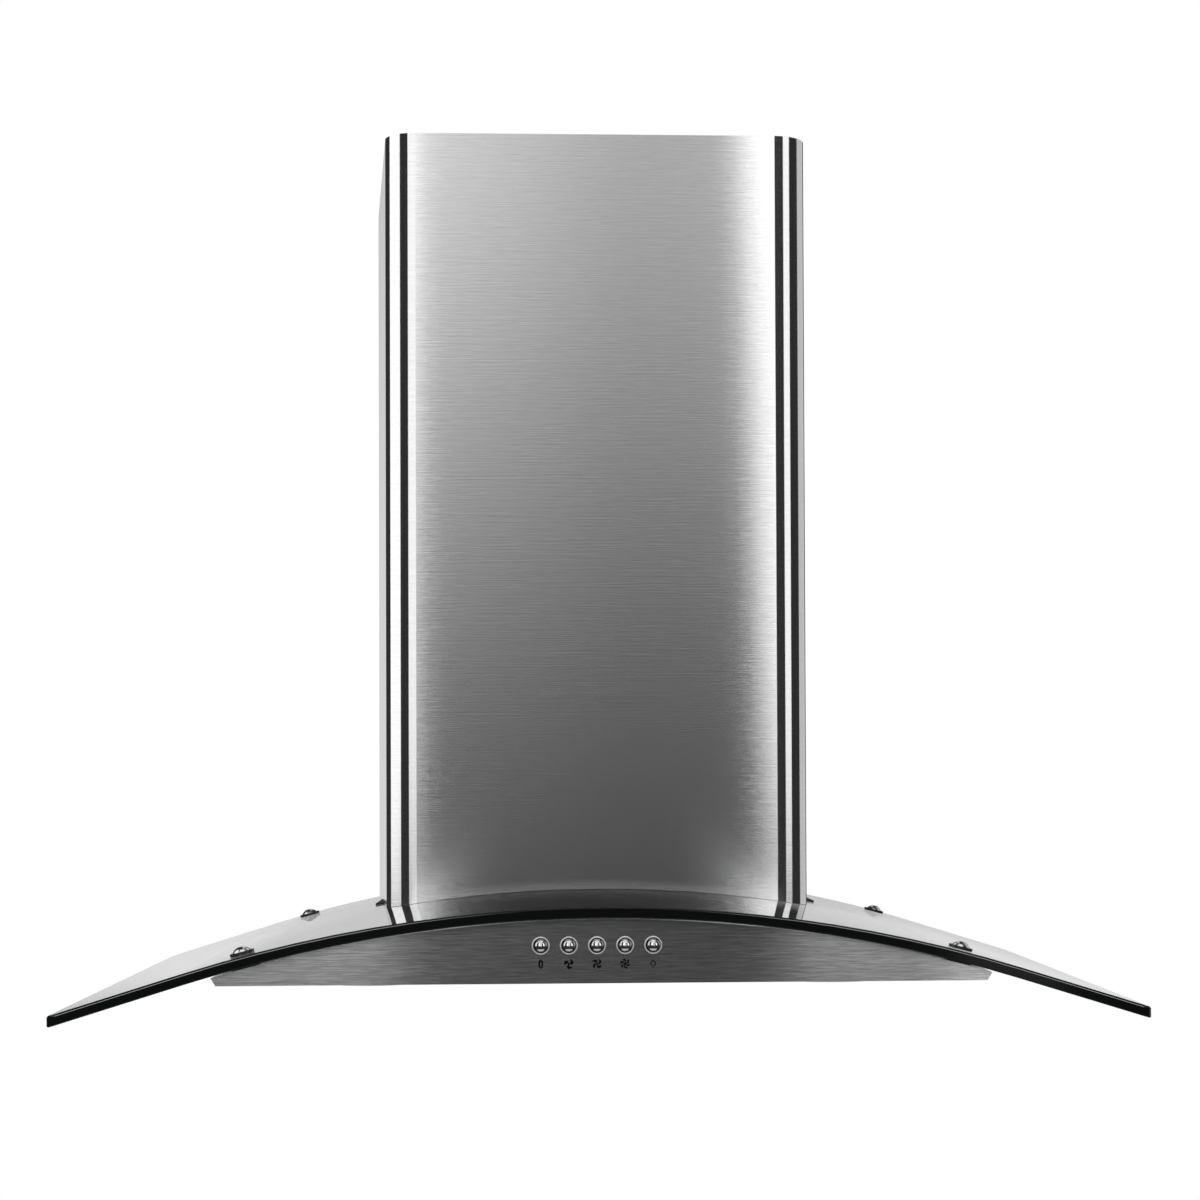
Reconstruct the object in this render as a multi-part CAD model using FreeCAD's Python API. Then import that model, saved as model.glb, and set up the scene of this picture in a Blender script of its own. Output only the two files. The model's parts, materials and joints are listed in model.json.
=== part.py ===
import FreeCAD, Part
import math
import os

V = FreeCAD.Vector

# Wall mount range hood with an arched glass canopy, in millimetres.
# X runs to the right, Y towards the wall, Z up. The wall is the plane Y = 0 and the
# origin is the centre of the four wall screws.

# Shared values
SHEET = 1.2
OVERRUN = 8.0
SEAT_GAP = 0.06
THREAD_GAP = 0.15
RUNNING_GAP = 0.06
SLIDE_GAP = 0.3
RIGHT = V(1, 0, 0)
REARWARD = V(0, 1, 0)
UP = V(0, 0, 1)
LEFT_AND_RIGHT = (-1, 1)

# Glass canopy: a sheet bent to an arc in the middle, with straight wings
GLASS_WIDTH = 600.0
GLASS_DEPTH = 472.0
GLASS_THICKNESS = 6.0
GLASS_WALL_GAP = 3.0
GLASS_CROWN_DROP = 110.0
ARCH_RADIUS = 768.0
ARCH_HALF_WIDTH = 227.0
GLASS_REAR_CORNER = 20.0
GLASS_FRONT_CORNER = 7.0
GLASS_ARRIS = 0.7
GLASS_NOTCH_CORNER = 12.0
GLASS_NOTCH_GAP = 5.0

# Glass screws and what lies under them
GLASS_SCREW_X = 198.0
GLASS_SCREW_FRONT_INSET = 28.0
GLASS_SCREW_REAR_INSET = 50.0
GLASS_SCREW_RADIUS = 3.0
GLASS_HEAD_RADIUS = 5.2
GLASS_HEAD_HEIGHT = 2.8
GLASS_HEX_RADIUS = 1.8
GLASS_HEX_DEPTH = 1.4
WASHER_RADIUS = 6.75
WASHER_THICKNESS = 1.6
BUSH_RADIUS = 8.0
BUSH_SLEEVE_WALL = 1.4
GLASS_BED = 1.2
GLASS_NUT_RADIUS = 5.0
GLASS_NUT_HEIGHT = 3.4

# Hood body under the glass
BODY_TOP_HALF_WIDTH = 213.5
BODY_FOOT_TUCK = 2.7
BODY_END_HEIGHT = 4.4
BODY_SETBACK = 13.0
BODY_FLANGE = 14.0

# Control panel and its push buttons
BUTTON_COUNT = 5
BUTTON_PITCH = 15.35
BUTTON_ROW_X = -4.0
BUTTON_BELOW_CROWN = 21.4
BUTTON_RADIUS = 3.6
BUTTON_GAP = 0.6
BUTTON_PROUD = 2.2
BUTTON_DOME = 2.6
BUTTON_REAR = 3.6
BUTTON_TRAVEL = 2.5
BUTTON_STEM_RADIUS = 2.4
BEZEL_RADIUS = 4.9
BEZEL_ARRIS = 0.4
BEZEL_PROUD = 0.9
BEZEL_WALL = 0.45
BEZEL_BARREL = 2.4
SWITCH_STANDOFF = 11.0
SWITCH_DEPTH = 30.0
SWITCH_HEIGHT = 22.0
SWITCH_END = 9.0
SWITCH_STEM_SPARE = 1.5
SWITCH_STEM_REST = 5.0
SWITCH_EDGE = 1.5
BRACKET_SHEET = 1.5
BRACKET_FOOT = 14.0
TERMINAL_PIN_LENGTH = 7.0
TERMINAL_PIN_WIDTH = 4.8
TERMINAL_PIN_THICKNESS = 0.8

# Chimney cover
CHIMNEY_SIDE_ROOM = 15.1
CHIMNEY_CORNER_RADIUS = 20.0
CHIMNEY_SPLAY_DEGREES = 4.9
CHIMNEY_DEPTH = 251.0
CHIMNEY_WALL_GAP = 2.0
CHIMNEY_HEIGHT = 475.0
CHIMNEY_SHEET = 1.0
CHIMNEY_REAR_FLANGE = 12.0
CHIMNEY_GLASS_GAP = 0.15
SEAL_WIDTH = 6.0
SEAL_HEIGHT = 7.0
WEDGE_WIDTH = 5.6
WEDGE_THICKNESS = 1.0
WEDGE_FROM_FRONT = 89.0
HANGER_TOP_DROP = 30.0
HANGER_HEIGHT = 32.0
HANGER_SHEET = 1.5
HANGER_TAB = 26.0
HANGER_HOLE_HALF_SPACING = 60.0
HANGER_HOLE_RADIUS = 3.5
HANGER_CLEARANCE = 2.0
FLUSH_HEX_RADIUS = 1.2
FLUSH_HEX_DEPTH = 0.8
COVER_SCREW_RADIUS = 2.0
COVER_SCREW_HEAD = 3.4
COVER_SCREW_LENGTH = 8.0
COVER_SCREW_FROM_WALL = 18.0

# Blower box, hung on the wall, with the fan inside
BOX_HALF_WIDTH = 98.0
BOX_DEPTH = 222.0
BOX_TOP = 115.0
BOX_FLANGE = 12.0
BOX_BED = 0.3
BOX_SHEET = 1.2
EAR_SHEET = 2.0
EAR_WIDTH = 36.0
EAR_HEIGHT = 40.0
EAR_CORNER = 8.0
WALL_HOLE_RADIUS = 4.0
WALL_HOLE_OUTSET = 20.0
WALL_HOLE_HALF_Z = 78.0
FLANGE_SCREW_RADIUS = 2.0
FLANGE_SCREW_HEAD = 3.8
FLANGE_SCREW_HEAD_HEIGHT = 2.2
FLANGE_SCREW_LENGTH = 8.0
FLANGE_SCREW_INSET = 30.0

# Volute, impeller and motor; the fan turns about an axis along X
FAN_Y = -141.0
FAN_Z = -22.0
IMPELLER_RADIUS = 62.0
IMPELLER_INNER_RADIUS = 50.0
IMPELLER_HALF_LENGTH = 41.0
BLADE_COUNT = 32
BLADE_THICKNESS = 0.9
BLADE_SWEEP_DEGREES = 7.0
BLADE_CAMBER = 2.6
RING_WIDTH = 4.0
RING_THICKNESS = 1.6
DISC_THICKNESS = 1.6
HUB_RADIUS = 11.0
HUB_HALF_LENGTH = 8.0
HUB_VENT_RADIUS = 9.0
HUB_VENT_CIRCLE = 31.0
HUB_VENT_COUNT = 6
SHAFT_RADIUS = 4.0
SHAFT_TIP = 18.0
SHAFT_DEPTH_IN_MOTOR = 26.0
IMPELLER_NUT_RADIUS = 7.0
IMPELLER_NUT_HEIGHT = 6.0
SCROLL_MIN_RADIUS = 67.0
SCROLL_MAX_RADIUS = 92.0
SCROLL_START_DEGREES = 68.0
SCROLL_POINTS = 14
SCROLL_SHEET = 1.2
VOLUTE_HALF_WIDTH = 47.0
VOLUTE_NECK_TOP = 62.0
INLET_RADIUS = 52.0
INLET_LIP = 4.0
INLET_LIP_WALL = 1.5
VOLUTE_STAY_TOP = -30.0
VOLUTE_STAY_HEIGHT = 56.0
MOTOR_RADIUS = 36.0
MOTOR_START = 10.0
MOTOR_LENGTH = 56.0
MOTOR_FLANGE_RADIUS = 43.0
MOTOR_FLANGE_THICKNESS = 2.0
MOTOR_EDGE = 4.0
MOTOR_VENT_COUNT = 10
MOTOR_VENT_WIDTH = 4.0
MOTOR_VENT_LENGTH = 16.0
MOTOR_VENT_DEPTH = 2.5
BRACKET_PLATE = 2.0
BRACKET_ARM_COUNT = 3
BRACKET_ARM_WIDTH = 15.0
GROMMET_CIRCLE = 61.5
GROMMET_RADIUS = 5.5
GROMMET_THICKNESS = 3.0
MOTOR_SCREW_RADIUS = 2.0
MOTOR_SCREW_HEAD = 3.8
MOTOR_SCREW_HEAD_HEIGHT = 2.4

# Outlet: adapter from the square neck to the round collar, and its damper
COLLAR_RADIUS = 60.0
COLLAR_WALL = 2.5
COLLAR_HEIGHT = 45.0
COLLAR_FLANGE_RADIUS = 74.0
COLLAR_FLANGE = 3.0
ADAPTER_CORNER = 6.0
ADAPTER_WALL = 1.5
RECTANGLE_SIDES = 4
DAMPER_PIN_RADIUS = 1.5
DAMPER_PIN_HEIGHT = 14.0
DAMPER_KNUCKLE_RADIUS = 3.3
DAMPER_KNUCKLE_GAP = 0.5
DAMPER_KNUCKLES = 6
FLAP_THICKNESS = 1.5
FLAP_EDGE_GAP = 1.2
FLAP_RIB_HEIGHT = 2.5
FLAP_RIB_WIDTH = 1.6
LEDGE_WIDTH = 3.0
LEDGE_HEIGHT = 2.0
COLLAR_SCREW_CIRCLE = 67.5
COLLAR_SCREW_COUNT = 4

# Terminal box, cable gland and capacitor beside the blower box
TERMINAL_DEPTH = 27.0
TERMINAL_LENGTH = 72.0
TERMINAL_HEIGHT = 60.0
TERMINAL_Y = -118.0
TERMINAL_Z = 42.0
TERMINAL_WALL = 2.0
LID_THICKNESS = 2.0
LID_SCREW_RADIUS = 1.6
LID_SCREW_HEAD = 3.0
GLAND_BORE = 4.0
GLAND_BARREL = 7.0
GLAND_COLLAR = 10.0
GLAND_HEIGHT = 14.0
GLAND_COLLAR_HEIGHT = 5.0
GLAND_BELOW = 5.0
GLAND_ARRIS = 1.0
CAPACITOR_RADIUS = 13.0
CAPACITOR_LENGTH = 48.0
CAPACITOR_ARRIS = 1.6
CAPACITOR_Y = -118.0
CAPACITOR_Z = 20.0
CLIP_SHEET = 1.2
CLIP_HEIGHT = 14.0
CLIP_GAP = 0.2

# Underside plate, lamps and grease filters
PLATE_SHEET = 1.2
FILTER_WIDTH = 172.0
FILTER_THICKNESS = 9.0
FILTER_FROM_WALL = 52.0
FILTER_FROM_PANEL = 92.0
FILTER_CENTRE_BAR = 12.0
FILTER_GAP = 1.0
FILTER_RAIL = 11.0
FILTER_HEAD_RAIL = 28.0
COLLAR_UPSTAND = 9.5
HINGE_STUB_RADIUS = 2.0
HINGE_STUB_LENGTH = 2.0
MESH_THICKNESS = 3.0
MESH_COLUMNS = 6
MESH_ROWS = 12
MESH_STRAND = 4.0
LATCH_WIDTH = 30.0
LATCH_LENGTH = 12.0
LATCH_THICKNESS = 4.0
LATCH_TRAVEL = 5.0
LATCH_TONGUE_WIDTH = 14.0
LATCH_TONGUE_THICKNESS = 2.0
LATCH_REACH = 4.0
LATCH_GRIP = 2.4
LAMP_X = 128.0
LAMP_FROM_FRONT = 47.0
LAMP_RADIUS = 29.0
LAMP_BEZEL_WIDTH = 4.0
LAMP_BEZEL_THICKNESS = 1.6
LAMP_BODY_HEIGHT = 12.0
LAMP_BODY_WALL = 1.5
LENS_THICKNESS = 2.5
BULB_RADIUS = 3.0
BULB_LENGTH = 14.0
SOCKET_RADIUS = 7.0
PLATE_SCREW_RADIUS = 1.8
PLATE_SCREW_HEAD = 3.4
PLATE_SCREW_HEAD_HEIGHT = 1.4
PLATE_SCREW_LENGTH = 6.0
PLATE_SCREW_X = (-150.0, 0, 150.0)

# Places that follow from the sizes above
ARCH_TOP_Z = -GLASS_CROWN_DROP
ARCH_CENTRE_Z = ARCH_TOP_Z - ARCH_RADIUS
ARCH_ANGLE = math.asin(ARCH_HALF_WIDTH / ARCH_RADIUS)
GLASS_REAR_Y = -GLASS_WALL_GAP
GLASS_FRONT_Y = GLASS_REAR_Y - GLASS_DEPTH
BODY_ARCH_RADIUS = ARCH_RADIUS - GLASS_THICKNESS - GLASS_BED
PANEL_FRONT_Y = GLASS_FRONT_Y + BODY_SETBACK
PANEL_BACK_Y = PANEL_FRONT_Y + SHEET
BUTTON_Z = ARCH_TOP_Z - BUTTON_BELOW_CROWN
CHIMNEY_TOP_Z = ARCH_TOP_Z + CHIMNEY_HEIGHT
CHIMNEY_REAR_Y = -CHIMNEY_WALL_GAP
CHIMNEY_FRONT_Y = CHIMNEY_REAR_Y - CHIMNEY_DEPTH
CHIMNEY_SPLAY = math.radians(CHIMNEY_SPLAY_DEGREES)
CHIMNEY_FLAT_HALF_WIDTH = BOX_HALF_WIDTH + CHIMNEY_SIDE_ROOM
BOX_FRONT_Y = -BOX_DEPTH
WALL_HOLE_HALF_X = BOX_HALF_WIDTH + WALL_HOLE_OUTSET
NOTCH_HALF_WIDTH = BOX_HALF_WIDTH + BOX_FLANGE + GLASS_NOTCH_GAP
NOTCH_FRONT_Y = BOX_FRONT_Y - BOX_FLANGE - GLASS_NOTCH_GAP
TOP_PLATE_Z = BOX_TOP + BOX_SHEET
FILTER_REAR_Y = -FILTER_FROM_WALL
FILTER_FRONT_Y = PANEL_FRONT_Y + FILTER_FROM_PANEL


def box(x0, x1, y0, y1, z0, z1):
    return Part.makeBox(x1 - x0, y1 - y0, z1 - z0, V(x0, y0, z0))


def rod(radius, start, end):
    return Part.makeCylinder(radius, (end - start).Length, start, end - start)


def bore(radius, place, axis):
    """Cutter that runs past a place on both sides."""
    return rod(radius, place - axis * OVERRUN, place + axis * OVERRUN)


def tube(outer, inner, start, end):
    return rod(outer, start, end).cut(rod(inner, start, end))


def line(start, end):
    return Part.makeLine(start, end)


def polygon(points):
    return Part.Face(Part.makePolygon(points + [points[0]]))


def hexagon(across_corners, start, length, axis):
    sides = 6
    points = []
    for k in range(sides):
        angle = 2 * math.pi * k / sides
        points.append(V(across_corners * math.cos(angle), across_corners * math.sin(angle), 0))
    solid = polygon(points).extrude(V(0, 0, length))
    return placed(solid, start, axis)


def placed(shape, origin, axis):
    turned = shape.copy()
    turned.Placement = FreeCAD.Placement(origin, FreeCAD.Rotation(UP, axis))
    return turned


def dome(radius, height):
    ball_radius = (radius * radius + height * height) / (2 * height)
    rim = V(radius, 0, 0)
    crown = V(0, 0, height)
    half_angle = math.asin(min(radius / ball_radius, 1)) / 2
    middle = V(ball_radius * math.sin(half_angle), 0, height - ball_radius * (1 - math.cos(half_angle)))
    edges = [line(V(0, 0, 0), rim), Part.Arc(rim, middle, crown).toShape(), line(crown, V(0, 0, 0))]
    return Part.Face(Part.Wire(edges)).revolve(V(0, 0, 0), UP)


def screw(head_radius, head_height, shank_radius, shank_length, seat, outward):
    head = dome(head_radius, head_height)
    shank = Part.makeCylinder(shank_radius, shank_length, V(0, 0, -shank_length))
    return placed(head.fuse(shank), seat, outward)


def countersink(head_radius, shank_radius, depth, seat, outward):
    """Cutter for a flush head, with the thread's gap all round."""
    cone = Part.makeCone(shank_radius + THREAD_GAP, head_radius + THREAD_GAP, depth, V(0, 0, -depth))
    return placed(cone, seat, outward)


def flush_screw(head_radius, head_depth, shank_radius, shank_length, seat, outward):
    head = Part.makeCone(shank_radius, head_radius, head_depth, V(0, 0, -head_depth))
    shank = Part.makeCylinder(shank_radius, shank_length, V(0, 0, -shank_length))
    socket = hexagon(FLUSH_HEX_RADIUS, V(0, 0, -FLUSH_HEX_DEPTH), FLUSH_HEX_DEPTH + OVERRUN, UP)
    return placed(head.fuse(shank).cut(socket), seat, outward)


def save(name, shape):
    shape.exportStep(os.path.join("parts", name + ".step"))


def arch_z(radius, x):
    start = radius * math.sin(ARCH_ANGLE)
    if abs(x) <= start:
        return ARCH_CENTRE_Z + math.sqrt(radius * radius - x * x)
    return ARCH_CENTRE_Z + radius * math.cos(ARCH_ANGLE) - (abs(x) - start) * math.tan(ARCH_ANGLE)


def arch_normal(x):
    lean = math.copysign(min(math.asin(abs(x) / ARCH_RADIUS), ARCH_ANGLE), x)
    return V(math.sin(lean), 0, math.cos(lean))


def on_arch(radius, x, y):
    return V(x, y, arch_z(ARCH_RADIUS, x)) + arch_normal(x) * (radius - ARCH_RADIUS)


def arch_curve(radius, half_width):
    left = V(-half_width, 0, arch_z(radius, half_width))
    right = V(half_width, 0, arch_z(radius, half_width))
    crown = V(0, 0, ARCH_CENTRE_Z + radius)
    start = radius * math.sin(ARCH_ANGLE)
    if half_width <= start:
        return [Part.Arc(left, crown, right).toShape()]
    arc_left = V(-start, 0, arch_z(radius, start))
    arc_right = V(start, 0, arch_z(radius, start))
    middle = Part.Arc(arc_left, crown, arc_right).toShape()
    return [line(left, arc_left), middle, line(arc_right, right)]


def under_arch(radius, half_width, y0, y1, low_z):
    left_top = V(-half_width, 0, arch_z(radius, half_width))
    right_top = V(half_width, 0, arch_z(radius, half_width))
    left_low = V(-half_width, 0, low_z)
    right_low = V(half_width, 0, low_z)
    edges = arch_curve(radius, half_width)
    edges += [line(right_top, right_low), line(right_low, left_low), line(left_low, left_top)]
    face = Part.Face(Part.Wire(edges))
    face.translate(V(0, y0, 0))
    return face.extrude(V(0, y1 - y0, 0))


def arch_sheet(top_radius, thickness, half_width, y0, y1):
    low_z = arch_z(top_radius, half_width) - thickness - OVERRUN
    block = under_arch(top_radius, half_width, y0, y1, low_z)
    hollow = under_arch(top_radius - thickness, half_width + OVERRUN, y0 - OVERRUN, y1 + OVERRUN,
                        low_z - OVERRUN)
    return block.cut(hollow)


BODY_BOTTOM_Z = arch_z(BODY_ARCH_RADIUS, BODY_TOP_HALF_WIDTH) - BODY_END_HEIGHT
PLATE_TOP_Z = BODY_BOTTOM_Z + PLATE_SHEET


def glass_outline():
    """Plan outline of the glass, taller than the sheet, with rounded corners."""
    low_z = arch_z(ARCH_RADIUS, GLASS_WIDTH / 2) - GLASS_THICKNESS - OVERRUN
    high_z = ARCH_TOP_Z + OVERRUN
    half = GLASS_WIDTH / 2
    block = box(-half, half, GLASS_FRONT_Y, GLASS_REAR_Y, low_z, high_z)
    block = block.makeFillet(GLASS_FRONT_CORNER, upright_edges_at(block, GLASS_FRONT_Y))
    return block.makeFillet(GLASS_REAR_CORNER, upright_edges_at(block, GLASS_REAR_Y))


def is_upright(edge):
    first = edge.Vertexes[0].Point
    last = edge.Vertexes[-1].Point
    return abs(first.x - last.x) + abs(first.y - last.y) < SEAT_GAP and abs(first.z - last.z) > SEAT_GAP


def upright_edges_at(shape, y):
    return [e for e in shape.Edges if is_upright(e) and abs(e.CenterOfMass.y - y) < SEAT_GAP]


def is_bend_line(edge):
    """True for the lines where the arc of the glass meets its straight wings."""
    return edge.BoundBox.XLength < SEAT_GAP and abs(edge.CenterOfMass.x) < GLASS_WIDTH / 2 - GLASS_REAR_CORNER


def glass_screw_places():
    rows = (GLASS_FRONT_Y + GLASS_SCREW_FRONT_INSET, GLASS_REAR_Y - GLASS_SCREW_REAR_INSET)
    return [(side * GLASS_SCREW_X, y) for y in rows for side in LEFT_AND_RIGHT]


def glass_canopy():
    half = GLASS_WIDTH / 2
    sheet = arch_sheet(ARCH_RADIUS, GLASS_THICKNESS, half + OVERRUN, GLASS_FRONT_Y - OVERRUN,
                       GLASS_REAR_Y + OVERRUN)
    notch = box(-NOTCH_HALF_WIDTH, NOTCH_HALF_WIDTH, NOTCH_FRONT_Y, GLASS_REAR_Y + OVERRUN * 2,
                arch_z(ARCH_RADIUS, half) - OVERRUN * 2, ARCH_TOP_Z + OVERRUN * 2)
    notch = notch.makeFillet(GLASS_NOTCH_CORNER, upright_edges_at(notch, NOTCH_FRONT_Y))
    sheet = sheet.common(glass_outline())
    rims = [e for e in sheet.Edges if not is_upright(e) and not is_bend_line(e)]
    sheet = sheet.makeChamfer(GLASS_ARRIS, rims).cut(notch)
    hole_radius = GLASS_SCREW_RADIUS + THREAD_GAP + BUSH_SLEEVE_WALL + SLIDE_GAP
    for x, y in glass_screw_places():
        sheet = sheet.cut(bore(hole_radius, on_arch(ARCH_RADIUS, x, y), arch_normal(x)))
    return sheet


def glass_screws():
    seat_radius = ARCH_RADIUS + SEAT_GAP + WASHER_THICKNESS
    grip = WASHER_THICKNESS + GLASS_THICKNESS + GLASS_BED + SHEET
    length = SEAT_GAP + grip + GLASS_NUT_HEIGHT + SHEET
    solids = []
    for x, y in glass_screw_places():
        outward = arch_normal(x)
        body = screw(GLASS_HEAD_RADIUS, GLASS_HEAD_HEIGHT, GLASS_SCREW_RADIUS, length,
                     on_arch(seat_radius, x, y), outward)
        socket_floor = seat_radius + GLASS_HEAD_HEIGHT - GLASS_HEX_DEPTH
        socket = hexagon(GLASS_HEX_RADIUS, on_arch(socket_floor, x, y), GLASS_HEX_DEPTH + OVERRUN, outward)
        solids.append(body.cut(socket))
    return Part.makeCompound(solids)


def glass_washers():
    solids = []
    for x, y in glass_screw_places():
        low = on_arch(ARCH_RADIUS + SEAT_GAP, x, y)
        high = on_arch(ARCH_RADIUS + SEAT_GAP + WASHER_THICKNESS, x, y)
        solids.append(tube(WASHER_RADIUS, GLASS_SCREW_RADIUS + THREAD_GAP, low, high))
    return Part.makeCompound(solids)


def glass_bushes():
    inner = GLASS_SCREW_RADIUS + THREAD_GAP
    solids = []
    for x, y in glass_screw_places():
        low = on_arch(BODY_ARCH_RADIUS + SEAT_GAP, x, y)
        shoulder = on_arch(ARCH_RADIUS - GLASS_THICKNESS - SEAT_GAP, x, y)
        high = on_arch(ARCH_RADIUS - SEAT_GAP, x, y)
        pad = rod(BUSH_RADIUS, low, shoulder)
        sleeve = rod(inner + BUSH_SLEEVE_WALL, low, high)
        solids.append(pad.fuse(sleeve).cut(rod(inner, low, high)))
    return Part.makeCompound(solids)


def glass_nuts():
    top_radius = BODY_ARCH_RADIUS - SHEET - SEAT_GAP
    solids = []
    for x, y in glass_screw_places():
        outward = arch_normal(x)
        low = on_arch(top_radius - GLASS_NUT_HEIGHT, x, y)
        nut = hexagon(GLASS_NUT_RADIUS, low, GLASS_NUT_HEIGHT, outward)
        solids.append(nut.cut(rod(GLASS_SCREW_RADIUS + THREAD_GAP, low, on_arch(top_radius, x, y))))
    return Part.makeCompound(solids)


def body_block(inset, y0, y1, below):
    """Arched block of the hood body, moved in by an inset and reaching below its underside."""
    radius = BODY_ARCH_RADIUS - inset
    slope = BODY_FOOT_TUCK / BODY_END_HEIGHT
    shoulder_z = arch_z(radius, BODY_TOP_HALF_WIDTH - inset)
    top_half = body_half_width_at(shoulder_z) - inset
    low_z = BODY_BOTTOM_Z - below
    low_half = top_half - slope * (arch_z(radius, top_half) - low_z)
    left_low = V(-low_half, 0, low_z)
    right_low = V(low_half, 0, low_z)
    edges = arch_curve(radius, top_half)
    left_top = V(-top_half, 0, arch_z(radius, top_half))
    right_top = V(top_half, 0, arch_z(radius, top_half))
    edges += [line(right_top, right_low), line(right_low, left_low), line(left_low, left_top)]
    face = Part.Face(Part.Wire(edges))
    face.translate(V(0, y0, 0))
    return face.extrude(V(0, y1 - y0, 0))


def body_half_width_at(z):
    slope = BODY_FOOT_TUCK / BODY_END_HEIGHT
    return BODY_TOP_HALF_WIDTH - slope * (BODY_BOTTOM_Z + BODY_END_HEIGHT - z)


def flange_screw_places():
    front_y = BOX_FRONT_Y - BOX_FLANGE / 2
    side_x = BOX_HALF_WIDTH + BOX_FLANGE / 2
    places = [(side * (side_x - FLANGE_SCREW_INSET), front_y) for side in LEFT_AND_RIGHT]
    rows = (BOX_FRONT_Y + FLANGE_SCREW_INSET, -FLANGE_SCREW_INSET)
    places += [(side * side_x, y) for y in rows for side in LEFT_AND_RIGHT]
    return places


def hood_shell():
    shell = body_block(0, PANEL_BACK_Y, 0, 0)
    shell = shell.cut(body_block(SHEET, PANEL_BACK_Y - OVERRUN, -SHEET, OVERRUN))
    inner_half = body_half_width_at(PLATE_TOP_Z) - SHEET * 2
    ledge = box(-inner_half, inner_half, -BODY_FLANGE, -SHEET, PLATE_TOP_Z, PLATE_TOP_Z + SHEET)
    shell = shell.fuse(ledge)
    air_way = box(-BOX_HALF_WIDTH + BOX_SHEET, BOX_HALF_WIDTH - BOX_SHEET, BOX_FRONT_Y + BOX_SHEET,
                  -FILTER_FROM_WALL / 2, PLATE_TOP_Z + SHEET * 2, ARCH_TOP_Z + OVERRUN)
    shell = shell.cut(air_way)
    for x, y in glass_screw_places():
        place = on_arch(BODY_ARCH_RADIUS, x, y)
        shell = shell.cut(bore(GLASS_SCREW_RADIUS + THREAD_GAP, place, arch_normal(x)))
    for x, y in flange_screw_places():
        shell = shell.cut(flange_screw_hole(x, y))
    for x in PLATE_SCREW_X:
        shell = shell.cut(plate_screw_hole(x, -BODY_FLANGE / 2))
    return shell


def flange_screw_hole(x, y):
    return bore(FLANGE_SCREW_RADIUS + THREAD_GAP, on_arch(BODY_ARCH_RADIUS, x, y), arch_normal(x))


def plate_screw_hole(x, y):
    return bore(PLATE_SCREW_RADIUS + THREAD_GAP, V(x, y, PLATE_TOP_Z), UP)


def button_places():
    first = BUTTON_ROW_X - BUTTON_PITCH * (BUTTON_COUNT - 1) / 2
    return [first + BUTTON_PITCH * k for k in range(BUTTON_COUNT)]


def control_panel():
    face = body_block(0, PANEL_FRONT_Y, PANEL_BACK_Y, 0)
    inner_half = body_half_width_at(PLATE_TOP_Z) - SHEET * 2
    lip = box(-inner_half, inner_half, PANEL_FRONT_Y, PANEL_FRONT_Y + BODY_FLANGE, PLATE_TOP_Z,
              PLATE_TOP_Z + SHEET)
    panel = face.fuse(lip)
    barrel = BUTTON_RADIUS + BUTTON_GAP + BEZEL_WALL
    for x in button_places():
        centre = V(x, PANEL_FRONT_Y - OVERRUN, BUTTON_Z)
        panel = panel.cut(rod(barrel + THREAD_GAP, centre, V(x, PANEL_BACK_Y + OVERRUN, BUTTON_Z)))
    for x in PLATE_SCREW_X:
        panel = panel.cut(plate_screw_hole(x, PANEL_FRONT_Y + BODY_FLANGE / 2 + SHEET))
    return panel


def button_bezels():
    barrel = BUTTON_RADIUS + BUTTON_GAP + BEZEL_WALL
    solids = []
    for x in button_places():
        front = V(x, PANEL_FRONT_Y - BEZEL_PROUD, BUTTON_Z)
        seat = V(x, PANEL_FRONT_Y, BUTTON_Z)
        rear = V(x, PANEL_BACK_Y + BEZEL_BARREL, BUTTON_Z)
        rim = rod(BEZEL_RADIUS, front, seat)
        rim = rim.makeChamfer(BEZEL_ARRIS, [e for e in rim.Edges if e.BoundBox.YMax < front.y + SEAT_GAP])
        ring = rim.fuse(rod(barrel, front + REARWARD * BEZEL_ARRIS, rear))
        ring = ring.cut(rod(BUTTON_RADIUS + BUTTON_GAP, front, rear))
        solids.append(ring)
    return Part.makeCompound(solids)


def push_button(x):
    cap_front = PANEL_FRONT_Y - BUTTON_PROUD
    cap_rear = PANEL_BACK_Y + BUTTON_REAR
    stem_end = PANEL_BACK_Y + SWITCH_STANDOFF + SWITCH_STEM_REST
    cap = rod(BUTTON_RADIUS, V(x, cap_front, BUTTON_Z), V(x, cap_rear, BUTTON_Z))
    crown = placed(dome(BUTTON_RADIUS, BUTTON_DOME), V(x, cap_front, BUTTON_Z), -REARWARD)
    stem = rod(BUTTON_STEM_RADIUS, V(x, cap_rear, BUTTON_Z), V(x, stem_end, BUTTON_Z))
    return cap.fuse(crown).fuse(stem)


def switch_span():
    first = button_places()[0] - SWITCH_END
    last = button_places()[-1] + SWITCH_END
    return first, last


def switch_block():
    x0, x1 = switch_span()
    y0 = PANEL_BACK_Y + SWITCH_STANDOFF
    z0 = BUTTON_Z - SWITCH_HEIGHT / 2
    block = box(x0, x1, y0, y0 + SWITCH_DEPTH, z0, z0 + SWITCH_HEIGHT)
    block = block.makeChamfer(SWITCH_EDGE, [e for e in block.Edges if is_upright(e)])
    bore_depth = SWITCH_STEM_REST + BUTTON_TRAVEL + SWITCH_STEM_SPARE
    for x in button_places():
        block = block.cut(rod(BUTTON_STEM_RADIUS + SLIDE_GAP, V(x, y0 - OVERRUN, BUTTON_Z),
                              V(x, y0 + bore_depth, BUTTON_Z)))
        pin = box(x - TERMINAL_PIN_WIDTH / 2, x + TERMINAL_PIN_WIDTH / 2, y0 + SWITCH_DEPTH,
                  y0 + SWITCH_DEPTH + TERMINAL_PIN_LENGTH, BUTTON_Z, BUTTON_Z + TERMINAL_PIN_THICKNESS)
        block = block.fuse(pin)
    return block


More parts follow.
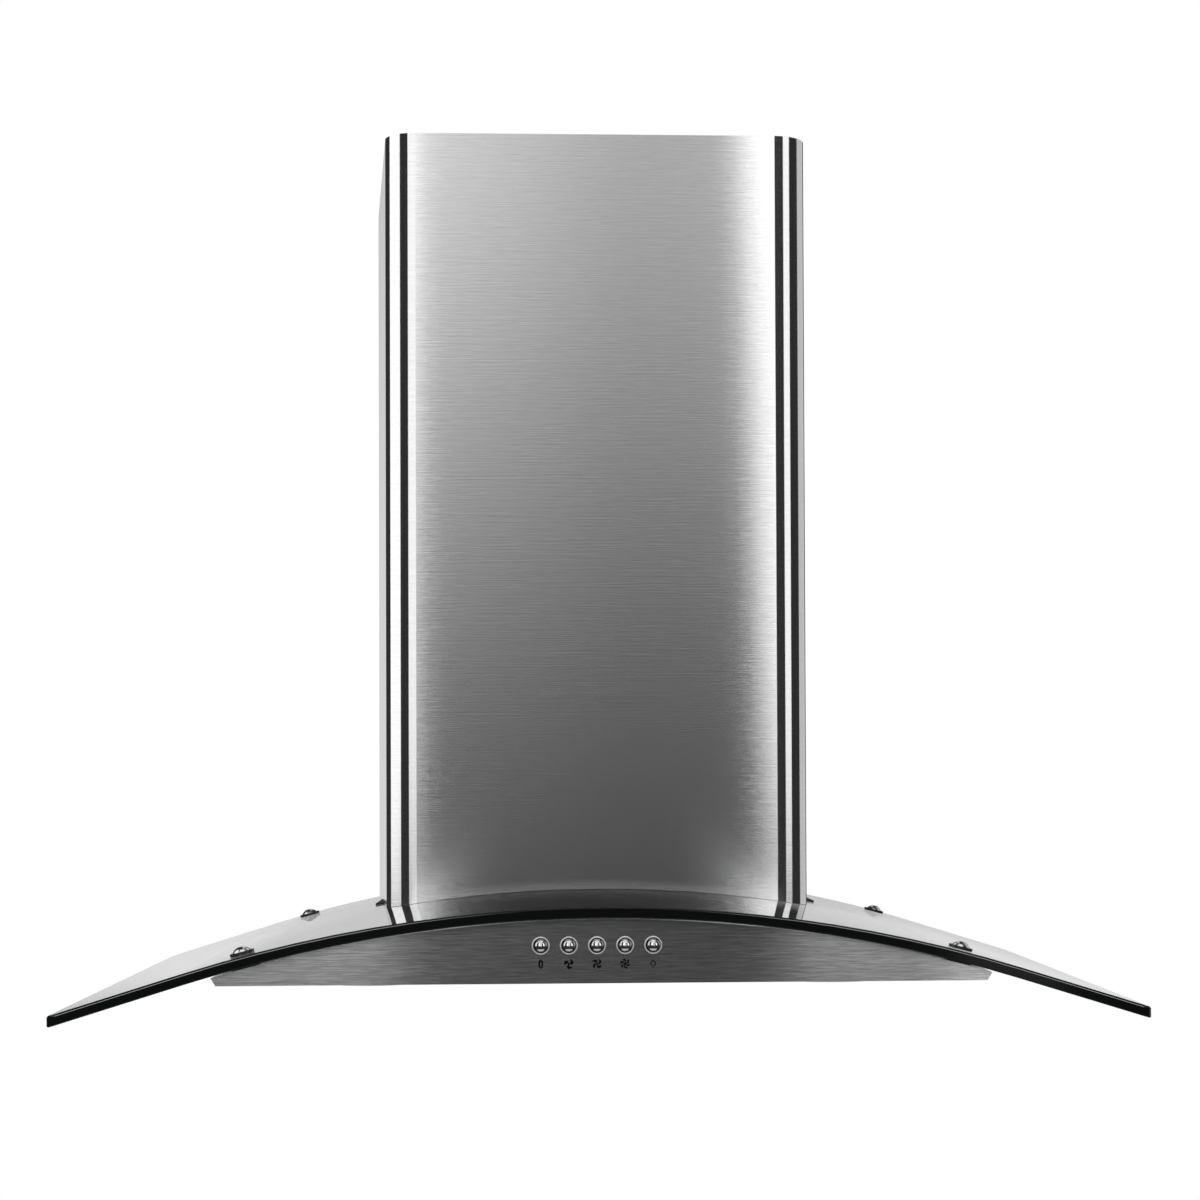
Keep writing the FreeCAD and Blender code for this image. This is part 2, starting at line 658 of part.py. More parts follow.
def switch_bracket():
    """Angle behind the panel that carries the switch block on the underside plate."""
    x0, x1 = switch_span()
    rear = PANEL_BACK_Y + SWITCH_STANDOFF + SWITCH_DEPTH
    bottom = BUTTON_Z - SWITCH_HEIGHT / 2
    shelf = box(x0, x1, rear - SWITCH_DEPTH, rear, bottom - BRACKET_SHEET, bottom)
    web_low = PLATE_TOP_Z + BRACKET_SHEET
    web = box(x0, x1, rear - BRACKET_SHEET, rear, web_low, bottom)
    foot = box(x0, x1, rear - BRACKET_SHEET, rear + BRACKET_FOOT, PLATE_TOP_Z, web_low)
    return shelf.fuse(web).fuse(foot)


def chimney_region(inset, rear_y, low_z, high_z):
    """Solid of the chimney's plan outline, moved in by an inset, from the front to rear_y."""
    radius = CHIMNEY_CORNER_RADIUS - inset
    centre_y = CHIMNEY_FRONT_Y + CHIMNEY_CORNER_RADIUS
    side_angle = CHIMNEY_SPLAY
    middle_angle = (math.pi / 2 + side_angle) / 2

    def corner(side, angle):
        x = CHIMNEY_FLAT_HALF_WIDTH + radius * math.cos(angle)
        return V(side * x, centre_y - radius * math.sin(angle), low_z)

    end = corner(1, side_angle)
    rear_x = end.x + (rear_y - end.y) * math.tan(side_angle)
    edges = [
        line(V(-rear_x, rear_y, low_z), corner(-1, side_angle)),
        Part.Arc(corner(-1, side_angle), corner(-1, middle_angle), corner(-1, math.pi / 2)).toShape(),
        line(corner(-1, math.pi / 2), corner(1, math.pi / 2)),
        Part.Arc(corner(1, math.pi / 2), corner(1, middle_angle), corner(1, side_angle)).toShape(),
        line(corner(1, side_angle), V(rear_x, rear_y, low_z)),
        line(V(rear_x, rear_y, low_z), V(-rear_x, rear_y, low_z)),
    ]
    return Part.Face(Part.Wire(edges)).extrude(V(0, 0, high_z - low_z))


def chimney_half_width_at(y, inset):
    radius = CHIMNEY_CORNER_RADIUS - inset
    end_x = CHIMNEY_FLAT_HALF_WIDTH + radius * math.cos(CHIMNEY_SPLAY)
    end_y = CHIMNEY_FRONT_Y + CHIMNEY_CORNER_RADIUS - radius * math.sin(CHIMNEY_SPLAY)
    return end_x + (y - end_y) * math.tan(CHIMNEY_SPLAY)


def chimney_low_z():
    return arch_z(ARCH_RADIUS, chimney_half_width_at(CHIMNEY_REAR_Y, 0)) - OVERRUN


def hanger_z():
    top = CHIMNEY_TOP_Z - HANGER_TOP_DROP
    return top - HANGER_HEIGHT, top


def cover_screw_axis(side):
    outward = V(side * math.cos(CHIMNEY_SPLAY), -math.sin(CHIMNEY_SPLAY), 0)
    y = -COVER_SCREW_FROM_WALL
    low, high = hanger_z()
    seat = V(side * chimney_half_width_at(y, 0), y, (low + high) / 2)
    return seat, outward


def chimney_cover():
    low = chimney_low_z()
    inner_rear = CHIMNEY_REAR_Y - CHIMNEY_SHEET
    cover = chimney_region(0, CHIMNEY_REAR_Y, low, CHIMNEY_TOP_Z)
    cover = cover.cut(chimney_region(CHIMNEY_SHEET, inner_rear, low - OVERRUN, CHIMNEY_TOP_Z + OVERRUN))
    back = chimney_half_width_at(CHIMNEY_REAR_Y, 0) - CHIMNEY_REAR_FLANGE
    cover = cover.cut(box(-back, back, inner_rear - OVERRUN, CHIMNEY_REAR_Y + OVERRUN, low - OVERRUN,
                          CHIMNEY_TOP_Z + OVERRUN))
    cover = cover.cut(under_arch(ARCH_RADIUS + CHIMNEY_GLASS_GAP, GLASS_WIDTH / 2, CHIMNEY_FRONT_Y - OVERRUN,
                                 OVERRUN, low - OVERRUN))
    hanger_low, hanger_high = hanger_z()
    cover = cover.cut(chimney_region(CHIMNEY_SHEET, OVERRUN, hanger_low - HANGER_CLEARANCE,
                                     hanger_high + HANGER_CLEARANCE))
    for side in LEFT_AND_RIGHT:
        seat, outward = cover_screw_axis(side)
        cover = cover.cut(bore(COVER_SCREW_RADIUS + THREAD_GAP, seat, outward))
        cover = cover.cut(countersink(COVER_SCREW_HEAD, COVER_SCREW_RADIUS, CHIMNEY_SHEET, seat, outward))
    return cover


def chimney_hanger():
    """Wall strip whose two ends are bent forward inside the cover."""
    low, high = hanger_z()
    inset = CHIMNEY_SHEET + SEAT_GAP
    hanger = chimney_region(inset, 0, low, high)
    hanger = hanger.cut(chimney_region(inset + HANGER_SHEET, -HANGER_SHEET, low - OVERRUN, high + OVERRUN))
    hanger = hanger.common(box(-GLASS_WIDTH, GLASS_WIDTH, -HANGER_TAB, 0, low, high))
    middle_z = (low + high) / 2
    for side in LEFT_AND_RIGHT:
        x = side * HANGER_HOLE_HALF_SPACING
        hanger = hanger.cut(bore(HANGER_HOLE_RADIUS, V(x, 0, middle_z), REARWARD))
        seat, outward = cover_screw_axis(side)
        hanger = hanger.cut(bore(COVER_SCREW_RADIUS + THREAD_GAP, seat, outward))
    return hanger


def chimney_cover_screws():
    solids = []
    for side in LEFT_AND_RIGHT:
        seat, outward = cover_screw_axis(side)
        solids.append(flush_screw(COVER_SCREW_HEAD, CHIMNEY_SHEET, COVER_SCREW_RADIUS, COVER_SCREW_LENGTH,
                                  seat, outward))
    return Part.makeCompound(solids)


def chimney_base_seal():
    """Foam strip round the inside of the cover's foot, lying on the glass."""
    low = chimney_low_z()
    inset = CHIMNEY_SHEET + SEAT_GAP
    rear = GLASS_REAR_Y - GLASS_WALL_GAP
    strip = chimney_region(inset, rear, low, ARCH_TOP_Z + OVERRUN)
    strip = strip.cut(chimney_region(inset + SEAL_WIDTH, rear + OVERRUN, low - OVERRUN,
                                     ARCH_TOP_Z + OVERRUN * 2))
    half = GLASS_WIDTH / 2
    front = CHIMNEY_FRONT_Y - OVERRUN
    upper = under_arch(ARCH_RADIUS + SEAL_HEIGHT, half, front, OVERRUN, low - OVERRUN)
    lower = under_arch(ARCH_RADIUS + SEAT_GAP, half, front, OVERRUN, low - OVERRUN * 2)
    return strip.common(upper).cut(lower)


def chimney_wedges():
    """Flat rubber wedges on the glass, pushed against the splayed sides of the cover."""
    front = CHIMNEY_FRONT_Y + WEDGE_FROM_FRONT
    rear = front + WEDGE_WIDTH / math.tan(CHIMNEY_SPLAY)
    near = chimney_half_width_at(front, 0) + SEAT_GAP
    far = near + WEDGE_WIDTH
    low = arch_z(ARCH_RADIUS, far) - OVERRUN
    sheet = arch_sheet(ARCH_RADIUS + SEAT_GAP + WEDGE_THICKNESS, WEDGE_THICKNESS, GLASS_WIDTH / 2, front, rear)
    solids = []
    for side in LEFT_AND_RIGHT:
        points = [V(side * near, front, low), V(side * far, front, low), V(side * far, rear, low)]
        solids.append(sheet.common(polygon(points).extrude(UP * OVERRUN * 2)))
    return Part.makeCompound(solids)


def blower_box():
    low = chimney_low_z()
    half = BOX_HALF_WIDTH
    walls = box(-half, half, BOX_FRONT_Y, 0, low, BOX_TOP)
    inside = box(-half + BOX_SHEET, half - BOX_SHEET, BOX_FRONT_Y + BOX_SHEET, -BOX_SHEET, low - OVERRUN,
                 BOX_TOP + OVERRUN)
    below = under_arch(BODY_ARCH_RADIUS + BOX_BED, half + OVERRUN, BOX_FRONT_Y - OVERRUN, OVERRUN,
                       low - OVERRUN)
    flange = arch_sheet(BODY_ARCH_RADIUS + BOX_BED + BOX_SHEET, BOX_SHEET, half + BOX_FLANGE,
                        BOX_FRONT_Y - BOX_FLANGE, 0)
    shell = walls.cut(below).fuse(flange).cut(inside)
    for side in LEFT_AND_RIGHT:
        for level in LEFT_AND_RIGHT:
            shell = shell.fuse(wall_ear(side, level * WALL_HOLE_HALF_Z))
    for x, y in flange_screw_places():
        shell = shell.cut(flange_screw_hole(x, y))
    return shell


def wall_ear(side, z):
    near = side * (BOX_HALF_WIDTH - BOX_SHEET / 2)
    far = side * (BOX_HALF_WIDTH + EAR_WIDTH)
    ear = box(min(near, far), max(near, far), -EAR_SHEET, 0, z - EAR_HEIGHT / 2, z + EAR_HEIGHT / 2)
    free_end = [e for e in ear.Edges if abs(e.CenterOfMass.x - far) < SEAT_GAP]
    ear = ear.makeFillet(EAR_CORNER, [e for e in free_end if abs(e.CenterOfMass.z - z) > EAR_CORNER])
    return ear.cut(bore(WALL_HOLE_RADIUS, V(side * WALL_HOLE_HALF_X, 0, z), REARWARD))


def flange_screws():
    seat_radius = BODY_ARCH_RADIUS + BOX_BED + BOX_SHEET + SEAT_GAP
    solids = []
    for x, y in flange_screw_places():
        solids.append(screw(FLANGE_SCREW_HEAD, FLANGE_SCREW_HEAD_HEIGHT, FLANGE_SCREW_RADIUS,
                            FLANGE_SCREW_LENGTH, on_arch(seat_radius, x, y), arch_normal(x)))
    return Part.makeCompound(solids)


def fan_point(radius, angle):
    return V(0, FAN_Y + radius * math.cos(angle), FAN_Z + radius * math.sin(angle))


def scroll_radius(angle):
    """Inner radius of the scroll, which grows steadily from the tongue to the outlet."""
    start = math.radians(SCROLL_START_DEGREES)
    share = (angle - start) / (2 * math.pi - start)
    return SCROLL_MIN_RADIUS + (SCROLL_MAX_RADIUS - SCROLL_MIN_RADIUS) * share


def scroll_curve(extra, start):
    step = (2 * math.pi - start) / (SCROLL_POINTS - 1)
    angles = [start + step * k for k in range(SCROLL_POINTS)]
    points = [fan_point(scroll_radius(angle) + extra, angle) for angle in angles]
    curve = Part.BSplineCurve()
    curve.interpolate(points)
    return curve.toShape(), points[0], points[-1]


def tongue_angle():
    start = math.radians(SCROLL_START_DEGREES)
    offset = SCROLL_MIN_RADIUS * math.cos(start) - SCROLL_SHEET
    return math.acos(offset / (SCROLL_MIN_RADIUS + SCROLL_SHEET))


def neck_span():
    """Outer faces of the outlet neck along Y."""
    front = fan_point(scroll_radius(tongue_angle()) + SCROLL_SHEET, tongue_angle()).y
    return front, FAN_Y + SCROLL_MAX_RADIUS + SCROLL_SHEET


def volute_scroll():
    inner, inner_start, inner_end = scroll_curve(0, math.radians(SCROLL_START_DEGREES))
    outer, outer_start, outer_end = scroll_curve(SCROLL_SHEET, tongue_angle())
    top = VOLUTE_NECK_TOP
    rear_inner = V(0, inner_end.y, top)
    rear_outer = V(0, outer_end.y, top)
    front_inner = V(0, inner_start.y, top)
    front_outer = V(0, outer_start.y, top)
    corners = [outer_end, rear_outer, rear_inner, inner_end]
    rear_wall = [line(a, b) for a, b in zip(corners, corners[1:])]
    corners = [inner_start, front_inner, front_outer, outer_start]
    tongue_wall = [line(a, b) for a, b in zip(corners, corners[1:])]
    wire = Part.Wire(Part.sortEdges([outer] + rear_wall + [inner] + tongue_wall)[0])
    band = Part.Face(wire).extrude(RIGHT * (2 * VOLUTE_HALF_WIDTH))
    band.translate(RIGHT * -VOLUTE_HALF_WIDTH)
    return band


def grommet_places():
    first = math.pi / BRACKET_ARM_COUNT
    step = 2 * math.pi / BRACKET_ARM_COUNT
    return [first + step * k for k in range(BRACKET_ARM_COUNT)]


def volute_side(side):
    """Side wall of the volute with its rounded inlet, and the stay that reaches the box's back."""
    outer, start, end = scroll_curve(SCROLL_SHEET, tongue_angle())
    top = VOLUTE_NECK_TOP
    rear = V(0, end.y, top)
    front = V(0, start.y, top)
    edges = [outer, line(end, rear), line(rear, front), line(front, start)]
    plate = Part.Face(Part.Wire(Part.sortEdges(edges)[0])).extrude(RIGHT * SCROLL_SHEET)
    plate.translate(RIGHT * VOLUTE_HALF_WIDTH)
    stay = box(VOLUTE_HALF_WIDTH, VOLUTE_HALF_WIDTH + SCROLL_SHEET, FAN_Y + INLET_RADIUS + INLET_LIP,
               -BOX_SHEET, VOLUTE_STAY_TOP - VOLUTE_STAY_HEIGHT, VOLUTE_STAY_TOP)
    plate = plate.fuse(stay)
    lip = tube(INLET_RADIUS + INLET_LIP_WALL, INLET_RADIUS, V(VOLUTE_HALF_WIDTH - INLET_LIP, FAN_Y, FAN_Z),
               V(VOLUTE_HALF_WIDTH + SCROLL_SHEET, FAN_Y, FAN_Z))
    hole = rod(INLET_RADIUS, V(0, FAN_Y, FAN_Z), V(VOLUTE_HALF_WIDTH + OVERRUN, FAN_Y, FAN_Z))
    plate = plate.cut(hole).fuse(lip)
    if side > 0:
        for angle in grommet_places():
            centre = fan_point(GROMMET_CIRCLE, angle)
            plate = plate.cut(rod(MOTOR_SCREW_RADIUS + THREAD_GAP, centre,
                                  centre + RIGHT * (VOLUTE_HALF_WIDTH + OVERRUN)))
        return plate
    return plate.mirror(V(0, 0, 0), RIGHT)


def impeller_blade():
    """One forward-curved blade, standing along X."""
    sweep = math.radians(BLADE_SWEEP_DEGREES)
    inner_radius = IMPELLER_INNER_RADIUS
    outer_radius = IMPELLER_RADIUS - SEAT_GAP
    foot = V(0, inner_radius, 0)
    tip = V(0, outer_radius * math.cos(sweep), outer_radius * math.sin(sweep))
    chord = tip - foot
    across = V(0, -chord.z, chord.y)
    across.normalize()
    middle = (foot + tip) * 0.5 - across * BLADE_CAMBER
    skin = across * BLADE_THICKNESS
    edges = [
        Part.Arc(foot, middle, tip).toShape(),
        line(tip, tip + skin),
        Part.Arc(tip + skin, middle + skin, foot + skin).toShape(),
        line(foot + skin, foot),
    ]
    blade = Part.Face(Part.Wire(edges)).extrude(RIGHT * (2 * IMPELLER_HALF_LENGTH))
    blade.translate(V(-IMPELLER_HALF_LENGTH, FAN_Y, FAN_Z))
    return blade


def impeller():
    centre = V(0, FAN_Y, FAN_Z)
    axis = RIGHT
    disc = rod(IMPELLER_RADIUS, centre - axis * (DISC_THICKNESS / 2), centre + axis * (DISC_THICKNESS / 2))
    hub = rod(HUB_RADIUS, centre - axis * HUB_HALF_LENGTH, centre + axis * HUB_HALF_LENGTH)
    pieces = [hub]
    for side in LEFT_AND_RIGHT:
        end = centre + axis * (side * IMPELLER_HALF_LENGTH)
        inner = end - axis * (side * RING_THICKNESS)
        pieces.append(tube(IMPELLER_RADIUS, IMPELLER_RADIUS - RING_WIDTH, end, inner))
    blade = impeller_blade()
    for k in range(BLADE_COUNT):
        copy = blade.copy()
        copy.rotate(centre, axis, 360 * k / BLADE_COUNT)
        pieces.append(copy)
    wheel = disc.multiFuse(pieces)
    for k in range(HUB_VENT_COUNT):
        vent = fan_point(HUB_VENT_CIRCLE, 2 * math.pi * k / HUB_VENT_COUNT)
        wheel = wheel.cut(rod(HUB_VENT_RADIUS, vent - axis * DISC_THICKNESS, vent + axis * DISC_THICKNESS))
    bore = rod(SHAFT_RADIUS + THREAD_GAP, centre - axis * (HUB_HALF_LENGTH + OVERRUN),
               centre + axis * (HUB_HALF_LENGTH + OVERRUN))
    return wheel.cut(bore)


def motor_shaft():
    return rod(SHAFT_RADIUS, V(-SHAFT_TIP, FAN_Y, FAN_Z), V(MOTOR_START + SHAFT_DEPTH_IN_MOTOR, FAN_Y, FAN_Z))


def impeller_nut():
    low = V(-HUB_HALF_LENGTH - IMPELLER_NUT_HEIGHT, FAN_Y, FAN_Z)
    nut = hexagon(IMPELLER_NUT_RADIUS, low, IMPELLER_NUT_HEIGHT, RIGHT)
    return nut.cut(rod(SHAFT_RADIUS + THREAD_GAP, low, V(-HUB_HALF_LENGTH, FAN_Y, FAN_Z)))


def bracket_x():
    return VOLUTE_HALF_WIDTH + SCROLL_SHEET + GROMMET_THICKNESS


def motor_housing():
    centre = V(MOTOR_START, FAN_Y, FAN_Z)
    end = V(MOTOR_START + MOTOR_LENGTH, FAN_Y, FAN_Z)
    can = rod(MOTOR_RADIUS, centre, end)
    rims = [e for e in can.Edges if len(e.Vertexes) == 1]
    can = can.makeChamfer(MOTOR_EDGE, rims)
    flange_start = V(bracket_x() + BRACKET_PLATE, FAN_Y, FAN_Z)
    flange = rod(MOTOR_FLANGE_RADIUS, flange_start, flange_start + RIGHT * MOTOR_FLANGE_THICKNESS)
    can = can.fuse(flange)
    slot = box(MOTOR_START + MOTOR_EDGE * 2, MOTOR_START + MOTOR_EDGE * 2 + MOTOR_VENT_LENGTH,
               FAN_Y - MOTOR_VENT_WIDTH / 2, FAN_Y + MOTOR_VENT_WIDTH / 2,
               FAN_Z + MOTOR_RADIUS - MOTOR_VENT_DEPTH, FAN_Z + MOTOR_RADIUS + OVERRUN)
    for k in range(MOTOR_VENT_COUNT):
        vent = slot.copy()
        vent.rotate(centre, RIGHT, 360 * k / MOTOR_VENT_COUNT)
        can = can.cut(vent)
    bore_end = V(MOTOR_START + SHAFT_DEPTH_IN_MOTOR + SHAFT_RADIUS, FAN_Y, FAN_Z)
    return can.cut(rod(SHAFT_RADIUS + RUNNING_GAP, V(0, FAN_Y, FAN_Z), bore_end))


def motor_bracket():
    start = V(bracket_x(), FAN_Y, FAN_Z)
    end = start + RIGHT * BRACKET_PLATE
    ring = rod(MOTOR_FLANGE_RADIUS, start, end)
    half = BRACKET_ARM_WIDTH / 2
    for angle in grommet_places():
        arm = box(start.x, end.x, FAN_Y, FAN_Y + GROMMET_CIRCLE, FAN_Z - half, FAN_Z + half)
        arm.rotate(start, RIGHT, math.degrees(angle))
        eye = fan_point(GROMMET_CIRCLE, angle) + RIGHT * start.x
        ring = ring.fuse(arm).fuse(rod(half, eye, eye + RIGHT * BRACKET_PLATE))
    for angle in grommet_places():
        eye = fan_point(GROMMET_CIRCLE, angle) + RIGHT * bracket_x()
        ring = ring.cut(bore(MOTOR_SCREW_RADIUS + THREAD_GAP, eye, RIGHT))
    return ring.cut(bore(MOTOR_RADIUS + SLIDE_GAP, start, RIGHT))


def motor_grommets():
    solids = []
    for angle in grommet_places():
        start = fan_point(GROMMET_CIRCLE, angle) + RIGHT * (VOLUTE_HALF_WIDTH + SCROLL_SHEET)
        end = start + RIGHT * GROMMET_THICKNESS
        solids.append(tube(GROMMET_RADIUS, MOTOR_SCREW_RADIUS + THREAD_GAP, start, end))
    return Part.makeCompound(solids)


def motor_screws():
    length = BRACKET_PLATE + GROMMET_THICKNESS + SCROLL_SHEET * 2
    solids = []
    for angle in grommet_places():
        seat = fan_point(GROMMET_CIRCLE, angle) + RIGHT * (bracket_x() + BRACKET_PLATE)
        solids.append(screw(MOTOR_SCREW_HEAD, MOTOR_SCREW_HEAD_HEIGHT, MOTOR_SCREW_RADIUS, length, seat,
                            RIGHT))
    return Part.makeCompound(solids)


def collar_centre_y():
    front, rear = neck_span()
    return (front + rear) / 2


def collar_bore():
    return COLLAR_RADIUS - COLLAR_WALL


def rounded_rectangle(half_x, half_y, corner, centre_y, z):
    """Eight edges, starting with the side that faces the wall on the right."""
    edges = []
    for k in range(RECTANGLE_SIDES):
        turn = 2 * math.pi * k / RECTANGLE_SIDES
        reach, width = (half_x, half_y) if k % 2 == 0 else (half_y, half_x)
        first = V(reach, -(width - corner), 0)
        last = V(reach, width - corner, 0)
        arc_end = V(reach - corner, width, 0)
        bulge = corner * (1 - math.cos(math.pi / RECTANGLE_SIDES))
        arc_middle = V(reach - bulge, width - bulge, 0)
        places = [around_z(p, turn) + V(0, centre_y, z) for p in (first, last, arc_middle, arc_end)]
        edges.append(line(places[0], places[1]))
        edges.append(Part.Arc(places[1], places[2], places[3]).toShape())
    return Part.Wire(edges)


def around_z(point, turn):
    x = point.x * math.cos(turn) - point.y * math.sin(turn)
    y = point.x * math.sin(turn) + point.y * math.cos(turn)
    return V(x, y, point.z)


def eight_part_circle(radius, centre_y, z):
    edges = []
    step = math.pi / RECTANGLE_SIDES
    for k in range(2 * RECTANGLE_SIDES):
        places = []
        for share in (-0.5, 0, 0.5):
            angle = step * (k + share)
            places.append(V(radius * math.cos(angle), centre_y + radius * math.sin(angle), z))
        edges.append(Part.Arc(places[0], places[1], places[2]).toShape())
    return Part.Wire(edges)


def adapter_block(inset, low_z, high_z):
    front, rear = neck_span()
    half_x = VOLUTE_HALF_WIDTH + SCROLL_SHEET - inset
    half_y = (rear - front) / 2 - inset
    corner = ADAPTER_CORNER - inset
    square = rounded_rectangle(half_x, half_y, corner, collar_centre_y(), low_z)
    circle = eight_part_circle(collar_bore() + ADAPTER_WALL - inset, collar_centre_y(), high_z)
    return Part.makeLoft([square, circle], True, True)


def outlet_adapter():
    outer = adapter_block(0, VOLUTE_NECK_TOP, BOX_TOP)
    return outer.cut(adapter_block(ADAPTER_WALL, VOLUTE_NECK_TOP, BOX_TOP))


def blower_top_plate():
    plate = box(-BOX_HALF_WIDTH, BOX_HALF_WIDTH, BOX_FRONT_Y, 0, BOX_TOP, TOP_PLATE_Z)
    plate = plate.cut(bore(collar_bore(), V(0, collar_centre_y(), BOX_TOP), UP))
    for x, y in collar_screw_places():
        plate = plate.cut(bore(PLATE_SCREW_RADIUS + THREAD_GAP, V(x, y, TOP_PLATE_Z), UP))
    return plate


def collar_screw_places():
    places = []
    for k in range(COLLAR_SCREW_COUNT):
        angle = math.pi * (2 * k + 1) / COLLAR_SCREW_COUNT
        x = COLLAR_SCREW_CIRCLE * math.cos(angle)
        places.append((x, collar_centre_y() + COLLAR_SCREW_CIRCLE * math.sin(angle)))
    return places


def damper_axis_z():
    return TOP_PLATE_Z + DAMPER_PIN_HEIGHT


def outlet_collar():
    y = collar_centre_y()
    low = V(0, y, TOP_PLATE_Z)
    collar = rod(COLLAR_FLANGE_RADIUS, low, low + UP * COLLAR_FLANGE)
    collar = collar.fuse(rod(COLLAR_RADIUS, low, low + UP * COLLAR_HEIGHT))
    collar = collar.cut(rod(collar_bore(), low - UP * OVERRUN, low + UP * (COLLAR_HEIGHT + OVERRUN)))
    ledge_top = V(0, y, damper_axis_z() - FLAP_THICKNESS / 2 - SLIDE_GAP)
    collar = collar.fuse(tube(collar_bore() + COLLAR_WALL / 2, collar_bore() - LEDGE_WIDTH,
                              ledge_top - UP * LEDGE_HEIGHT, ledge_top))
    collar = collar.cut(rod(DAMPER_PIN_RADIUS + THREAD_GAP, V(-COLLAR_RADIUS - OVERRUN, y, damper_axis_z()),
                            V(COLLAR_RADIUS + OVERRUN, y, damper_axis_z())))
    notch = DAMPER_KNUCKLE_RADIUS + SLIDE_GAP
    collar = collar.cut(box(-collar_bore() + SEAT_GAP, collar_bore() - SEAT_GAP, y - notch, y + notch,
                            ledge_top.z - LEDGE_HEIGHT - SEAT_GAP, ledge_top.z + SEAT_GAP))
    for x, hole_y in collar_screw_places():
        collar = collar.cut(bore(PLATE_SCREW_RADIUS + THREAD_GAP, V(x, hole_y, TOP_PLATE_Z), UP))
    return collar


def collar_screws():
    solids = []
    for x, y in collar_screw_places():
        solids.append(screw(PLATE_SCREW_HEAD, PLATE_SCREW_HEAD_HEIGHT, PLATE_SCREW_RADIUS, PLATE_SCREW_LENGTH,
                            V(x, y, TOP_PLATE_Z + COLLAR_FLANGE), UP))
    return Part.makeCompound(solids)


def damper_pin():
    half = COLLAR_RADIUS - THREAD_GAP
    y = collar_centre_y()
    return rod(DAMPER_PIN_RADIUS, V(-half, y, damper_axis_z()), V(half, y, damper_axis_z()))


def damper_flap(side):
    """Half-round flap on one side of the pin, with every second knuckle."""
    y = collar_centre_y()
    z = damper_axis_z()
    radius = collar_bore() - FLAP_EDGE_GAP
    relief = DAMPER_KNUCKLE_RADIUS + DAMPER_KNUCKLE_GAP * 2
    half_thickness = FLAP_THICKNESS / 2
    disc = rod(radius, V(0, y, z - half_thickness), V(0, y, z + half_thickness))
    near = y + side * relief
    far = y + side * (radius + OVERRUN)
    flap = disc.common(box(-radius, radius, min(near, far), max(near, far), z - OVERRUN, z + OVERRUN))
    reach = math.sqrt(radius * radius - relief * relief) - FLAP_EDGE_GAP
    length = 2 * reach / DAMPER_KNUCKLES
    first = 0 if side < 0 else 1
    for k in range(first, DAMPER_KNUCKLES, 2):
        x0 = -reach + length * k + DAMPER_KNUCKLE_GAP / 2
        x1 = x0 + length - DAMPER_KNUCKLE_GAP
        flap = flap.fuse(rod(DAMPER_KNUCKLE_RADIUS, V(x0, y, z), V(x1, y, z)))
        root = y + side * (relief + FLAP_THICKNESS)
        flap = flap.fuse(box(x0, x1, min(y, root), max(y, root), z - half_thickness, z + half_thickness))
    rib_near = y + side * relief
    rib_far = y + side * (radius - LEDGE_WIDTH - FLAP_EDGE_GAP - FLAP_RIB_HEIGHT)
    rib = box(-FLAP_RIB_WIDTH / 2, FLAP_RIB_WIDTH / 2, min(rib_near, rib_far), max(rib_near, rib_far),
              z - half_thickness - FLAP_RIB_HEIGHT, z - half_thickness)
    flap = flap.fuse(rib)
    return flap.cut(rod(DAMPER_PIN_RADIUS + RUNNING_GAP, V(-radius, y, z), V(radius, y, z)))


def terminal_span():
    x0 = BOX_HALF_WIDTH
    y0 = TERMINAL_Y - TERMINAL_LENGTH / 2
    z0 = TERMINAL_Z - TERMINAL_HEIGHT / 2
    return x0, x0 + TERMINAL_DEPTH, y0, y0 + TERMINAL_LENGTH, z0, z0 + TERMINAL_HEIGHT


def lid_screw_places():
    x0, x1, y0, y1, z0, z1 = terminal_span()
    inset = LID_SCREW_HEAD + TERMINAL_WALL
    return [(y0 + inset, z0 + inset), (y1 - inset, z1 - inset)]


def terminal_box():
    x0, x1, y0, y1, z0, z1 = terminal_span()
    wall = TERMINAL_WALL
    case = box(x0, x1, y0, y1, z0, z1)
    case = case.cut(box(x0 + wall, x1 + OVERRUN, y0 + wall, y1 - wall, z0 + wall, z1 - wall))
    post_radius = LID_SCREW_RADIUS + wall
    for y, z in lid_screw_places():
        case = case.fuse(rod(post_radius, V(x0 + wall / 2, y, z), V(x1, y, z)))
        case = case.cut(rod(LID_SCREW_RADIUS + THREAD_GAP, V(x0 + wall * 2, y, z), V(x1 + OVERRUN, y, z)))
    x, y = gland_place()
    return case.cut(rod(GLAND_BARREL + THREAD_GAP, V(x, y, z1 - wall * 2), V(x, y, z1 + OVERRUN)))


def gland_place():
    x0, x1, y0, y1, z0, z1 = terminal_span()
    return (x0 + x1) / 2, (y0 + y1) / 2


def terminal_box_lid():
    x0, x1, y0, y1, z0, z1 = terminal_span()
    lid = box(x1, x1 + LID_THICKNESS, y0, y1, z0, z1)
    outer_edges = [e for e in lid.Edges if e.BoundBox.XMin > x1 + LID_THICKNESS / 2]
    lid = lid.makeChamfer(LID_THICKNESS / 2, outer_edges)
    for y, z in lid_screw_places():
        lid = lid.cut(bore(LID_SCREW_RADIUS + THREAD_GAP, V(x1, y, z), RIGHT))
    return lid


def lid_screws():
    x1 = terminal_span()[1]
    length = LID_THICKNESS + TERMINAL_DEPTH / 2
    solids = []
    for y, z in lid_screw_places():
        solids.append(screw(LID_SCREW_HEAD, LID_SCREW_RADIUS, LID_SCREW_RADIUS, length,
                            V(x1 + LID_THICKNESS, y, z), RIGHT))
    return Part.makeCompound(solids)


